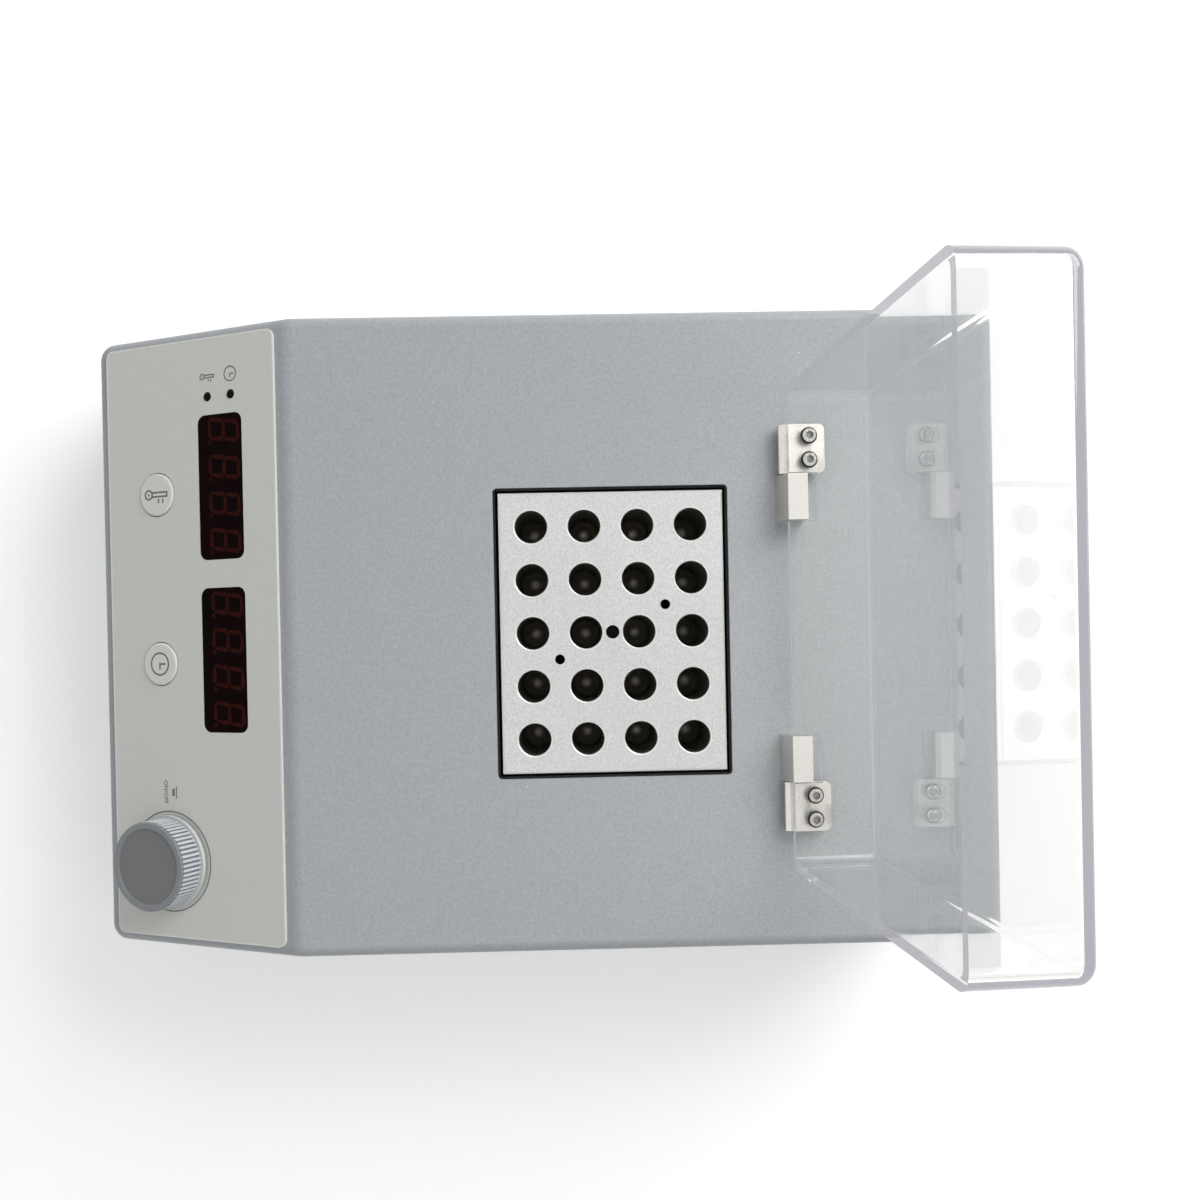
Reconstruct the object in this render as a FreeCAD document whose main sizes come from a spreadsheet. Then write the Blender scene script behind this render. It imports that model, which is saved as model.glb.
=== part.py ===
import FreeCAD, Part
import os
import re
import Sketcher
from FreeCAD import Placement, Rotation, Vector

# Dry bath incubator: a heated aluminium block for sample tubes in a bench-top housing with a
# sloping control panel and a clear hinged lid, stored with the lid open.
# Frame: X to the right seen from the front, Y to the rear, Z up, origin under the middle of the
# housing at the level of the feet. Millimetres and degrees.

os.makedirs("parts", exist_ok=True)
doc = FreeCAD.newDocument("DryBath")
dims = doc.addObject("Spreadsheet::Sheet", "dims")

SIZES = [
    # Housing
    ("body_width", 217, "outside width of the top cover"),
    ("body_depth", 317, "outside depth of the top cover"),
    ("top_height", 90, "cover top above the bench"),
    ("cover_wall", 1.5, "sheet of the top cover"),
    ("corner_round", 6, "upright corners"),
    ("edge_round", 4, "edges round the top and the panel"),
    ("crease_round", 9, "bend between the top and the panel"),
    ("panel_run", 75.5, "front of the housing to the bend, level"),
    ("panel_angle", 24, "slope of the panel"),
    ("flange_width", 12, "turned-in bottom edge of each side"),
    ("tray_wall", 1.5, "sheet of the base tray"),
    ("tray_inset", 0.3, "tray edge inside the cover's outline"),
    ("tray_lip", 14, "upstand that holds the rear panel"),
    ("vent_width", 3, "width of a vent slot"),
    ("vent_length", 40, "length of a tray vent slot"),
    ("vent_pitch", 8, "slot to slot"),
    ("vent_count", 8, "slots in each row"),
    ("rear_vent_length", 24, "length of a rear vent slot"),
    ("rear_vent_x", 44.5, "first rear vent slot from the side of the housing"),
    ("rear_width", 176, "rear panel"),
    ("rear_height", 66, "rear panel"),
    ("rear_wall", 1.5, "sheet of the rear panel"),
    ("rear_lap", 6, "cover over each edge of the rear panel"),
    ("rear_screw_inset", 18, "rear panel screw from the panel's side"),
    # Feet and screws
    ("foot_height", 8, "rubber foot"),
    ("foot_radius", 9, "rubber foot at the tray"),
    ("foot_taper", 1, "smaller radius at the bench"),
    ("foot_inset_x", 17, "foot from the side"),
    ("foot_inset_y", 20, "foot from the front and rear"),
    ("cover_screw_inset", 60, "cover screw from the front and rear"),
    ("screw_radius", 1.5, "small screws"),
    ("screw_clearance", 0.2, "round each screw's shank"),
    ("head_radius", 2.75, "head of a small screw"),
    ("head_height", 1.8, "head of a small screw"),
    # Control panel
    ("overlay_width", 210, "control overlay"),
    ("overlay_length", 74, "control overlay, down the slope"),
    ("overlay_thick", 0.8, "control overlay"),
    ("overlay_round", 3, "corners of the overlay"),
    ("overlay_start", 4.4, "bend to the overlay's upper edge"),
    ("window_width", 50, "display window"),
    ("window_height", 18.7, "display window"),
    ("window_round", 3, "corners of a display window"),
    ("window_drop", 27.7, "bend to the middle of a window"),
    ("window_left", -53, "middle of the heat window"),
    ("window_pitch", 60, "heat window to timer window"),
    ("window_gap", 0.15, "round each window"),
    ("window_ledge", 1.5, "sheet under each edge of a window"),
    ("lamp_left", -84.5, "indicator lamps"),
    ("lamp_drop", 22.7, "bend to the upper lamp"),
    ("lamp_pitch", 10, "lamp to lamp"),
    ("lamp_radius", 1.5, "indicator lamp"),
    ("lamp_gap", 0.15, "round each lamp"),
    ("lamp_proud", 0.5, "lamp over the overlay"),
    ("lamp_round", 0.9, "edge of the lamp's nose"),
    ("button_shift", 1, "button to the right of its window"),
    ("button_drop", 56, "bend to the middle of a button"),
    ("button_radius", 7.5, "button cap"),
    ("button_gap", 0.35, "round each button"),
    ("button_proud", 0.6, "button over the overlay"),
    ("button_flange", 1.2, "wider ring that keeps the button in"),
    ("button_travel", 0.6, "stroke of a button"),
    ("button_post", 2, "radius of the post over the switch"),
    ("knob_x", 78, "middle of the knob"),
    ("knob_drop", 53.5, "bend to the middle of the knob"),
    ("knob_radius", 15.6, "knob over the ribs"),
    ("knob_foot", 16.6, "ring at the foot of the knob"),
    ("knob_foot_height", 1.4, "ring at the foot of the knob"),
    ("knob_height", 10.4, "knob"),
    ("knob_gap", 1.2, "knob over the overlay"),
    ("knob_travel", 0.6, "stroke of the knob when it is pushed"),
    ("knob_rim", 2.3, "raised rim round the knob's face"),
    ("knob_dish", 0.5, "depth of the face inside the rim"),
    ("knob_shell", 3.2, "wall round the hollow of the knob"),
    ("knob_hub", 5.4, "radius of the hub round the shaft"),
    ("knob_roof", 3.2, "solid top of the knob"),
    ("rib_count", 60, "grip ribs round the knob"),
    ("rib_depth", 0.5, "depth of the groove between two ribs"),
    ("rib_mouth", 1.2, "groove between two ribs, at its mouth"),
    ("rib_root", 0.46, "groove between two ribs, at its root"),
    # Electronics behind the panel
    ("board_length", 60, "control board, down the slope"),
    ("board_thick", 1.6, "both boards"),
    ("board_drop", 41, "bend to the middle of the control board"),
    ("board_edge", 5, "board beyond its standoffs"),
    ("board_hole_x", 14.5, "standoffs from the side of the housing"),
    ("board_hole_y", 26, "half the spacing of its standoffs"),
    ("standoff_radius", 3, "board standoffs"),
    ("encoder_width", 12, "encoder housing"),
    ("encoder_height", 6.5, "encoder housing, sheet to board"),
    ("bushing_radius", 3.5, "threaded neck of the encoder"),
    ("bushing_height", 6.2, "neck over the top of the housing"),
    ("shaft_radius", 3, "encoder shaft"),
    ("shaft_length", 15.2, "encoder shaft"),
    ("shaft_depth", 4, "shaft inside the housing"),
    ("shaft_flat", 1.2, "flat along the shaft's end"),
    ("running_gap", 0.05, "round each turning or sliding shaft"),
    ("plunger_radius", 1.5, "push plunger under the shaft"),
    ("nut_flats", 10, "encoder nut across flats"),
    ("nut_height", 2, "encoder nut"),
    ("nut_gap", 0.3, "overlay round the encoder nut"),
    ("switch_width", 6, "tact switch"),
    ("switch_height", 3.5, "tact switch"),
    ("switch_gap", 0.15, "pressed button over its switch"),
    # Tube block
    ("block_y", 25.5, "middle of the block, from the middle of the housing"),
    ("block_width", 95, "tube block"),
    ("block_depth", 76, "tube block"),
    ("block_height", 50, "tube block"),
    ("block_proud", 0.3, "block over the cover"),
    ("block_edge", 0.6, "chamfer round the block's top"),
    ("well_radius", 5.5, "tube well"),
    ("well_pitch", 18, "well to well"),
    ("well_depth", 38, "tube well"),
    ("well_edge", 0.4, "chamfer at each well's mouth"),
    ("wells_across", 5, "wells along the width"),
    ("wells_deep", 4, "wells along the depth"),
    ("lift_radius", 2.25, "lifting thread in the middle"),
    ("lift_depth", 16, "lifting thread"),
    ("probe_radius", 1.65, "probe hole in the block"),
    ("probe_depth", 40, "probe hole in the block"),
    ("probe_x", 9, "probe hole from the middle"),
    ("probe_y", 18, "probe hole from the middle"),
    ("opening_gap", 1.8, "cover opening round the block"),
    ("opening_round", 1.5, "corners of the cover opening"),
    # Heater stack under the block
    ("well_gap", 1, "block to its liner"),
    ("liner_wall", 1, "sheet of the liner"),
    ("liner_flange", 7, "flange of the liner under the cover"),
    ("plate_height", 8, "heater plate"),
    ("mat_height", 1.5, "heater mat"),
    ("slab_height", 6, "insulation under the heater"),
    ("collar_wall", 10, "insulation round the liner"),
    ("collar_drop", 3, "collar's top under the liner's flange"),
    ("bracket_wall", 1.5, "sheet of the heater bracket"),
    ("bracket_foot", 10, "foot of the bracket on the tray"),
    ("bracket_depth", 90, "heater bracket"),
    ("bracket_hole_y", 30, "half the spacing of the bracket screws"),
    ("sensor_radius", 1.5, "temperature probe"),
    ("sensor_length", 22, "temperature probe"),
    ("sensor_seat", 5, "probe inside the heater plate"),
    ("sensor_x", 19, "probe from the middle of the block"),
    ("sensor_y", 15, "probe from the middle of the block"),
    ("cutout_radius", 8, "thermal cut-out"),
    ("cutout_height", 12, "thermal cut-out"),
    ("cutout_x", -16, "cut-out from the middle of the block"),
    ("cutout_y", -9.5, "cut-out from the middle of the block"),
    ("heater_hole_x", 38, "half the spacing of the heater screws"),
    ("heater_hole_y", 28, "half the spacing of the heater screws"),
    ("plate_thread", 4, "threaded holes in the heater plate"),
    # Power section
    ("inlet_x", 56.5, "middle of the mains inlet from the side of the housing"),
    ("inlet_z", 40, "middle of the mains inlet"),
    ("inlet_flange_x", 50, "inlet flange"),
    ("inlet_flange_z", 33, "inlet flange"),
    ("inlet_body_x", 27.6, "inlet body"),
    ("inlet_body_z", 30, "inlet body"),
    ("inlet_body_y", 24, "inlet body behind the flange"),
    ("recess_x", 24, "recess for the mains connector"),
    ("recess_z", 16.4, "recess for the mains connector"),
    ("recess_depth", 17, "recess for the mains connector"),
    ("recess_lift", 4.6, "recess over the middle of the inlet"),
    ("recess_cut", 4, "cut corners of the recess"),
    ("pin_width", 2, "contact pin"),
    ("pin_height", 4, "contact pin"),
    ("pin_length", 13, "contact pin in the recess"),
    ("pin_pitch", 7, "outer pin from the middle"),
    ("pin_step", 2, "middle pin over, outer pins under the recess's middle"),
    ("drawer_x", 22, "fuse drawer"),
    ("drawer_z", 7, "fuse drawer"),
    ("drawer_y", 21, "fuse drawer"),
    ("drawer_drop", 9, "fuse drawer under the middle of the inlet"),
    ("drawer_gap", 0.3, "round the fuse drawer"),
    ("drawer_wall", 1.2, "walls of the fuse drawer"),
    ("fuse_radius", 2.5, "fuse"),
    ("inlet_hole_x", 20, "inlet screw from the middle"),
    ("power_x", 70.5, "middle of the power board from the other side of the housing"),
    ("power_y", 41, "middle of the power board from the rear panel"),
    ("power_width", 104, "power board"),
    ("power_depth", 58, "power board"),
    ("power_lift", 7, "power board over the tray"),
    ("power_inset", 5, "standoff from the board's edge"),
    ("core_inset", 10, "transformer from the board's edge"),
    ("core_width", 34, "transformer"),
    ("core_depth", 30, "transformer"),
    ("core_height", 28, "transformer"),
    ("sink_width", 30, "heat sink"),
    ("sink_depth", 16, "heat sink"),
    ("sink_height", 25, "heat sink"),
    ("sink_fin", 1.6, "fin and web of the heat sink"),
    ("sink_fins", 5, "fins of the heat sink"),
    ("terminal_width", 40, "terminal block"),
    ("terminal_depth", 11, "terminal block"),
    ("terminal_height", 12, "terminal block"),
    ("can_radius", 6, "capacitor"),
    ("can_height", 20, "capacitor"),
    # Lid and hinges
    ("hinge_y", 59.5, "hinge axis behind the middle of the block"),
    ("hinge_z", 3.4, "hinge axis over the cover"),
    ("open_angle", 94.3, "lid from closed to its open stop"),
    ("lid_width", 162, "clear lid"),
    ("lid_depth", 145.6, "clear lid"),
    ("lid_height", 30, "clear lid"),
    ("lid_wall", 3, "clear lid"),
    ("lid_round", 6, "upright corners of the lid"),
    ("lid_edge", 4, "edges round the lid's top"),
    ("rim_gap", 2.9, "closed lid over the cover"),
    ("base_start", 36, "inner end of a hinge base, from the middle"),
    ("base_width", 15.4, "hinge base"),
    ("base_height", 9.4, "hinge base"),
    ("base_front", 0.6, "top of the base in front of the axis"),
    ("base_toe", 3.4, "foot of the base in front of the axis"),
    ("base_rear", 6, "base behind the axis"),
    ("base_screw_x", 3.8, "half the spacing of the screws in a base"),
    ("base_screw_y", 3.8, "screws in a base from the axis"),
    ("base_thread", 6, "threaded holes in a base"),
    ("leaf_gap", 0.3, "base to leaf along the axis"),
    ("leaf_width", 16.4, "hinge leaf"),
    ("leaf_reach", 12.3, "axis to the leaf's free edge"),
    ("leaf_thick", 1.7, "plate of the leaf"),
    ("leaf_corner", 2.2, "free corners of the leaf"),
    ("knuckle_front", 2.3, "axis to the lid's rear wall, which the knuckle touches"),
    ("knuckle_rear", 2.2, "knuckle behind the axis"),
    ("knuckle_top", 2.4, "knuckle over the axis"),
    ("knuckle_low", 2.8, "knuckle under the axis at its rear edge"),
    ("knuckle_edge", 1.2, "cut corners of the knuckle"),
    ("hinge_pin", 1.3, "radius of the hinge pin"),
    ("notch_gap", 0.4, "lid's notches round the hinge"),
    ("lid_screw_up", 6.4, "lid screws from the axis"),
    ("lid_screw_pitch", 8, "lid screw to lid screw"),
    ("lid_screw", 1.25, "radius of a lid screw"),
    ("lid_head", 2.5, "head of a lid screw"),
    ("lid_head_height", 1.6, "head of a lid screw"),
]

for row, (alias, value, meaning) in enumerate(SIZES, 1):
    dims.set(f"A{row}", meaning)
    dims.set(f"B{row}", str(value))
    dims.setAlias(f"B{row}", alias)
doc.recompute()
ALIASES = {alias for alias, value, meaning in SIZES}
PIECES = []


def mm(text):
    """The value of an expression over the sheet's sizes."""
    return float(dims.evalExpression(text))


def tie(thing, prop, text):
    """Bind a property to an expression over the sheet's sizes."""
    def name(match):
        word = match.group(0)
        return f"dims.{word}" if word in ALIASES else word
    thing.setExpression(prop, re.sub(r"[a-z_]+", name, text))


def at(x="0", y="0", z="0", turn=None):
    """A place given by three expressions, turned if need be."""
    return Placement(Vector(mm(x), mm(y), mm(z)), turn or Rotation())


def piece(solid, label):
    """Enter a finished object as one of the parts that are written out."""
    solid.Label = label
    PIECES.append(solid)
    return solid


# Levels and places that several pieces share
TRAY_TOP = "(foot_height + tray_wall)"
CREASE_Y = "(panel_run - body_depth / 2)"
PANEL = at("0", CREASE_Y, "top_height", Rotation(Vector(1, 0, 0), mm("panel_angle")))
BOARD_TOP = "(-cover_wall - encoder_height)"
BLOCK_FLOOR = "(top_height + block_proud - block_height)"
PLATE_FLOOR = f"({BLOCK_FLOOR} - plate_height)"
MAT_FLOOR = f"({PLATE_FLOOR} - mat_height)"
SLAB_FLOOR = f"({MAT_FLOOR} - slab_height)"
LINER_X = "(block_width + 2 * well_gap + 2 * liner_wall)"
LINER_Y = "(block_depth + 2 * well_gap + 2 * liner_wall)"
REAR_INSIDE = "(body_depth / 2 - cover_wall)"
POWER_Y = f"({REAR_INSIDE} - power_y)"
POWER_X = "(power_x - body_width / 2)"
INLET_X = "(body_width / 2 - inlet_x)"
BOARD_WIDE = "(body_width - 2 * board_hole_x + 2 * board_edge)"
HINGE_AT = at("0", "block_y + hinge_y", "top_height + hinge_z")
HINGE_OPEN = HINGE_AT * Placement(Vector(), Rotation(Vector(1, 0, 0), -mm("open_angle")))
RIM = "(rim_gap - hinge_z)"
LEAF_START = "(base_start + base_width + leaf_gap)"
ACROSS = Rotation(Vector(0, 1, 0), 90)
REARWARD = Rotation(Vector(1, 0, 0), -90)
FLIPPED = Rotation(Vector(1, 0, 0), 180)


# Sketches, features and plain solids

def new_body(label, place=None):
    body = doc.addObject("PartDesign::Body", label)
    if place:
        body.Placement = place
    return piece(body, label)


def sketch(body, role, place=None):
    drawing = body.newObject("Sketcher::SketchObject", body.Name + "_sketch")
    plane = next(f for f in body.Origin.OriginFeatures if f.Role == role)
    drawing.AttachmentSupport = [(plane, "")]
    drawing.MapMode = "FlatFace"
    if place:
        drawing.AttachmentOffset = place
    return drawing


def fix_point(drawing, shape, end, x, y):
    """Hold one point of a sketch at the given expressions."""
    for text, kind, axis in ((x, "DistanceX", -2), (y, "DistanceY", -1)):
        if abs(mm(text)) < 1e-9:
            drawing.addConstraint(Sketcher.Constraint("PointOnObject", shape, end, axis))
        else:
            rule = Sketcher.Constraint(kind, -1, 1, shape, end, mm(text))
            tie(drawing, f"Constraints[{drawing.addConstraint(rule)}]", text)


def polygon(drawing, points):
    first = drawing.GeometryCount
    spots = [Vector(mm(x), mm(y), 0) for x, y in points]
    for start, end in zip(spots, spots[1:] + spots[:1]):
        drawing.addGeometry(Part.LineSegment(start, end), False)
    for step, (x, y) in enumerate(points):
        after = first + (step + 1) % len(points)
        drawing.addConstraint(Sketcher.Constraint("Coincident", first + step, 2, after, 1))
        fix_point(drawing, first + step, 1, x, y)


def rectangle(drawing, wide, high, x="0", y="0"):
    left, right = f"{x} - ({wide}) / 2", f"{x} + ({wide}) / 2"
    low, top = f"{y} - ({high}) / 2", f"{y} + ({high}) / 2"
    polygon(drawing, [(left, low), (right, low), (right, top), (left, top)])


def circle(drawing, radius, x="0", y="0"):
    ring = drawing.addGeometry(Part.Circle(Vector(mm(x), mm(y), 0), Vector(0, 0, 1), mm(radius)))
    rule = drawing.addConstraint(Sketcher.Constraint("Radius", ring, mm(radius)))
    tie(drawing, f"Constraints[{rule}]", radius)
    fix_point(drawing, ring, 3, x, y)


def feature(body, kind, drawing, length, symmetric=False, reverse=False):
    """A Pad or Pocket of the sketch, through the given length."""
    result = body.newObject("PartDesign::" + kind, body.Name + "_" + kind)
    result.Profile = drawing
    tie(result, "Length", length)
    if symmetric:
        result.SideType = "Symmetric"
    result.Reversed = reverse
    doc.recompute()
    return result


def pad(body, drawing, length, **options):
    return feature(body, "Pad", drawing, length, **options)


def pocket(body, drawing, length, **options):
    before = body.Shape.Volume
    result = feature(body, "Pocket", drawing, length, **options)
    if not body.Shape.Volume < before - 1e-6:
        raise ValueError(f"{body.Label}: a pocket cuts nothing")
    return result


def turned(body, kind, drawing, axis="V_Axis"):
    """A Revolution or Groove of the sketch about one of its own axes."""
    result = body.newObject("PartDesign::" + kind, body.Name + "_" + kind)
    result.Profile = drawing
    result.ReferenceAxis = (drawing, [axis])
    result.Angle = 360
    doc.recompute()
    return result


def edges(body, chosen):
    """Names of the body's edges whose bound box passes the test."""
    found = enumerate(body.Tip.Shape.Edges, 1)
    names = [f"Edge{n}" for n, edge in found if chosen(edge.BoundBox)]
    if not names:
        raise ValueError(f"{body.Label}: no edge chosen")
    return names


def fillet(body, chosen, size, kind="Fillet", prop="Radius"):
    """Round the chosen edges, or cut them when a Chamfer is asked for."""
    base, names = body.Tip, edges(body, chosen)
    result = body.newObject("PartDesign::" + kind, body.Name + "_" + kind)
    result.Base = (base, names)
    tie(result, prop, size)
    doc.recompute()
    return result


def shell(body, wall):
    """Hollow the body out, open at its lowest flat face."""
    base, low = body.Tip, body.Tip.Shape.BoundBox.ZMin
    floor = next(n for n, face in enumerate(base.Shape.Faces, 1) if face.BoundBox.ZMax < low + 0.01)
    result = body.newObject("PartDesign::Thickness", body.Name + "_Shell")
    result.Base = (base, [f"Face{floor}"])
    tie(result, "Value", wall)
    result.Reversed = True
    result.Join = "Intersection"
    doc.recompute()
    return result


def row(body, label, cut_once, drawing, length, count):
    """Repeat a feature along its own sketch's horizontal axis."""
    result = body.newObject("PartDesign::LinearPattern", label)
    result.Originals = [cut_once]
    result.Direction = (drawing, ["H_Axis"])
    tie(result, "Length", length)
    result.Occurrences = int(mm(count))
    body.Tip = result
    doc.recompute()


def upright(box):
    return box.ZLength > 0.5 and box.XLength < 0.01 and box.YLength < 0.01


def block(name, size, x="0", y="0", z="0", frame=Placement()):
    """A plain block, centred on x and y, standing on z."""
    solid = doc.addObject("Part::Box", name)
    for prop, text in zip(("Length", "Width", "Height"), size):
        tie(solid, prop, text)
    wide, deep = size[:2]
    solid.Placement = frame * at(f"{x} - ({wide}) / 2", f"{y} - ({deep}) / 2", z)
    return solid


def rod(name, radius, length, x="0", y="0", z="0", frame=Placement(), turn=None):
    """A plain cylinder that starts at the given point."""
    solid = doc.addObject("Part::Cylinder", name)
    tie(solid, "Radius", radius)
    tie(solid, "Height", length)
    solid.Placement = frame * at(x, y, z, turn)
    return solid


def cut(name, base, *tools):
    for step, tool in enumerate(tools):
        result = doc.addObject("Part::Cut", f"{name}_{step}")
        result.Base, result.Tool = base, tool
        base = result
    return base


def fuse(name, *solids):
    result = doc.addObject("Part::MultiFuse", name)
    result.Shapes = list(solids)
    return result


def group(label, solids):
    """Several like pieces kept as one named part."""
    result = doc.addObject("Part::Compound", label)
    result.Links = list(solids)
    return piece(result, label)


def screws(label, spots, length, frame=Placement(), turn=None, shank="screw_radius",
           head="head_radius", head_height="head_height"):
    """Screws whose heads seat at each spot, with the shank along +Z and the head behind it."""
    made = []
    for n, (x, y, z) in enumerate(spots):
        place = frame * at(x, y, z, turn)
        stem = rod(f"{label}_stem{n}", shank, length, frame=place)
        cap = rod(f"{label}_cap{n}", head, head_height, z=f"-({head_height})", frame=place)
        made.append(fuse(f"{label}{n}", stem, cap))
    return group(label, made)


def corners(x, y, z="0", middle_x="0", middle_y="0"):
    """Four spots at the corners of a rectangle, given by half its sides."""
    return [(f"{middle_x} {a} ({x})", f"{middle_y} {b} ({y})", z) for a in "-+" for b in "-+"]


# Top cover: one sheet shell with the sloping panel, open below, turned in at the bottom of the
# sides, notched at the rear for the rear panel.
cover = new_body("top_cover")
profile = sketch(cover, "YZ_Plane")
polygon(profile, [
    ("-body_depth / 2", TRAY_TOP),
    ("body_depth / 2", TRAY_TOP),
    ("body_depth / 2", "top_height"),
    (CREASE_Y, "top_height"),
    ("-body_depth / 2", "top_height - panel_run * tan(panel_angle)"),
])
pad(cover, profile, "body_width", symmetric=True)
fillet(cover, upright, "corner_round")
crease_y, top_z = mm(CREASE_Y), mm("top_height")
fillet(cover, lambda box: abs(box.YMax - crease_y) < 0.01 and box.YLength < 0.01
       and box.ZMin > top_z - 0.01, "crease_round")
floor_z = mm(TRAY_TOP)
fillet(cover, lambda box: box.ZMin > floor_z + 10 and (
    box.XMin > mm("body_width / 2 - corner_round - 0.1")
    or box.XMax < mm("corner_round + 0.1 - body_width / 2")
    or box.YMin > mm("body_depth / 2 - 0.1")
    or box.YMax < mm("0.1 - body_depth / 2")), "edge_round")
shell(cover, "cover_wall")
opening = sketch(cover, "XY_Plane", at(z="top_height"))
rectangle(opening, "block_width + 2 * opening_gap", "block_depth + 2 * opening_gap", y="block_y")
pocket(cover, opening, "2 * cover_wall")
fillet(cover, lambda box: upright(box) and box.ZMax > top_z - 0.01
       and box.ZLength < mm("cover_wall + 0.1"), "opening_round")
panel_cuts = sketch(cover, "XY_Plane", PANEL)
for column in ("0", "1"):
    window_x = f"(window_left + {column} * window_pitch)"
    rectangle(panel_cuts, "window_width - 2 * window_ledge", "window_height - 2 * window_ledge",
              window_x, "-window_drop")
    circle(panel_cuts, "button_radius + button_gap", f"{window_x} + button_shift", "-button_drop")
    circle(panel_cuts, "lamp_radius + lamp_gap", "lamp_left", f"-lamp_drop - {column} * lamp_pitch")
circle(panel_cuts, "bushing_radius + screw_clearance", "knob_x", "-knob_drop")
pocket(cover, panel_cuts, "2 * cover_wall")
rear_notch = sketch(cover, "XZ_Plane", at(z="-body_depth / 2"))
rectangle(rear_notch, "rear_width - 2 * rear_lap", "rear_height - rear_lap",
          y=f"{TRAY_TOP} + (rear_height - rear_lap) / 2")
pocket(cover, rear_notch, "4 * cover_wall", symmetric=True)
hinge_holes = sketch(cover, "XY_Plane", at(z="top_height"))
BASE_MIDDLE = "(base_start + base_width / 2)"
base_screw_spots = [(f"{side} * ({BASE_MIDDLE} + {step} * base_screw_x)",
                     "block_y + hinge_y + base_screw_y")
                    for side in ("-1", "1") for step in ("-1", "1")]
for x, y in base_screw_spots:
    circle(hinge_holes, "screw_radius + screw_clearance", x, y)
pocket(cover, hinge_holes, "2 * cover_wall")
turn_in = sketch(cover, "XY_Plane", at(z=TRAY_TOP))
for side in ("-1", "1"):
    rectangle(turn_in, "flange_width", "body_depth - 4 * corner_round",
              f"{side} * (body_width / 2 - cover_wall / 2 - flange_width / 2)")
pad(cover, turn_in, "cover_wall")
cover_screw_spots = corners("body_width / 2 - flange_width / 2 - cover_wall",
                            "body_depth / 2 - cover_screw_inset")
flange_holes = sketch(cover, "XY_Plane", at(z=TRAY_TOP))
for x, y, z in cover_screw_spots:
    circle(flange_holes, "screw_radius + screw_clearance", x, y)
pocket(cover, flange_holes, "2 * cover_wall", symmetric=True)

# Base tray: flat sheet under the cover, vented, with an upstand that holds the rear panel
tray = new_body("base_tray")
outline = sketch(tray, "XY_Plane", at(z="foot_height"))
rectangle(outline, "body_width - 2 * tray_inset", "body_depth - 2 * tray_inset")
pad(tray, outline, "tray_wall")
fillet(tray, upright, "corner_round")
LIP_Y = f"({REAR_INSIDE} - rear_wall - tray_wall / 2)"
upstand = sketch(tray, "XY_Plane", at(z=TRAY_TOP))
rectangle(upstand, "rear_width - 2 * rear_lap", "tray_wall", y=LIP_Y)
pad(tray, upstand, "tray_lip")
rear_screw_spots = [(f"{side} * (rear_width / 2 - rear_screw_inset)",
                     f"{LIP_Y} - tray_wall / 2", f"{TRAY_TOP} + tray_lip / 2")
                    for side in ("-1", "1")]
lip_holes = sketch(tray, "XZ_Plane", at(z=f"-{LIP_Y}"))
for x, y, z in rear_screw_spots:
    circle(lip_holes, "screw_radius + screw_clearance", x, z)
pocket(tray, lip_holes, "2 * tray_wall", symmetric=True)
foot_spots = corners("body_width / 2 - foot_inset_x", "body_depth / 2 - foot_inset_y")
bracket_spots = [(f"{side} * ({LINER_X} / 2 + collar_wall + bracket_foot / 2)",
                  f"block_y + {step} * bracket_hole_y", TRAY_TOP)
                 for side in ("-1", "1") for step in ("-1", "1")]
power_spots = corners("power_width / 2 - power_inset", "power_depth / 2 - power_inset",
                      TRAY_TOP, POWER_X, POWER_Y)
tray_holes = sketch(tray, "XY_Plane", at(z=TRAY_TOP))
for x, y, z in foot_spots + bracket_spots + cover_screw_spots + power_spots:
    circle(tray_holes, "screw_radius + screw_clearance", x, y)
pocket(tray, tray_holes, "2 * tray_wall")
slot = sketch(tray, "XY_Plane", at(z=TRAY_TOP))
VENT_ROW = "((vent_count - 1) * vent_pitch)"
rectangle(slot, "vent_width", "vent_length", f"-{VENT_ROW} / 2", "block_y - body_depth / 4")
row(tray, "tray_slots", pocket(tray, slot, "2 * tray_wall"), slot, VENT_ROW, "vent_count")

# Rear panel: sheet behind the cover's rear notch, with vents and the opening for the inlet
rear = new_body("rear_panel")
rear_face = sketch(rear, "XZ_Plane", at(z=f"-{REAR_INSIDE}"))
rectangle(rear_face, "rear_width", "rear_height", y=f"{TRAY_TOP} + rear_height / 2")
pad(rear, rear_face, "rear_wall")
rear_cuts = sketch(rear, "XZ_Plane", at(z=f"-{REAR_INSIDE}"))
rectangle(rear_cuts, "inlet_body_x + 2 * drawer_gap", "inlet_body_z + 2 * drawer_gap",
          INLET_X, "inlet_z")
for x in (f"{INLET_X} - inlet_hole_x", f"{INLET_X} + inlet_hole_x"):
    circle(rear_cuts, "screw_radius + screw_clearance", x, "inlet_z")
for x, y, z in rear_screw_spots:
    circle(rear_cuts, "screw_radius + screw_clearance", x, z)
pocket(rear, rear_cuts, "2 * rear_wall", symmetric=True)
rear_slot = sketch(rear, "XZ_Plane", at(z=f"-{REAR_INSIDE}"))
rectangle(rear_slot, "vent_width", "rear_vent_length", "rear_vent_x - body_width / 2", "inlet_z")
row(rear, "rear_slots", pocket(rear, rear_slot, "2 * rear_wall", symmetric=True), rear_slot,
    VENT_ROW, "vent_count")

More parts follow.
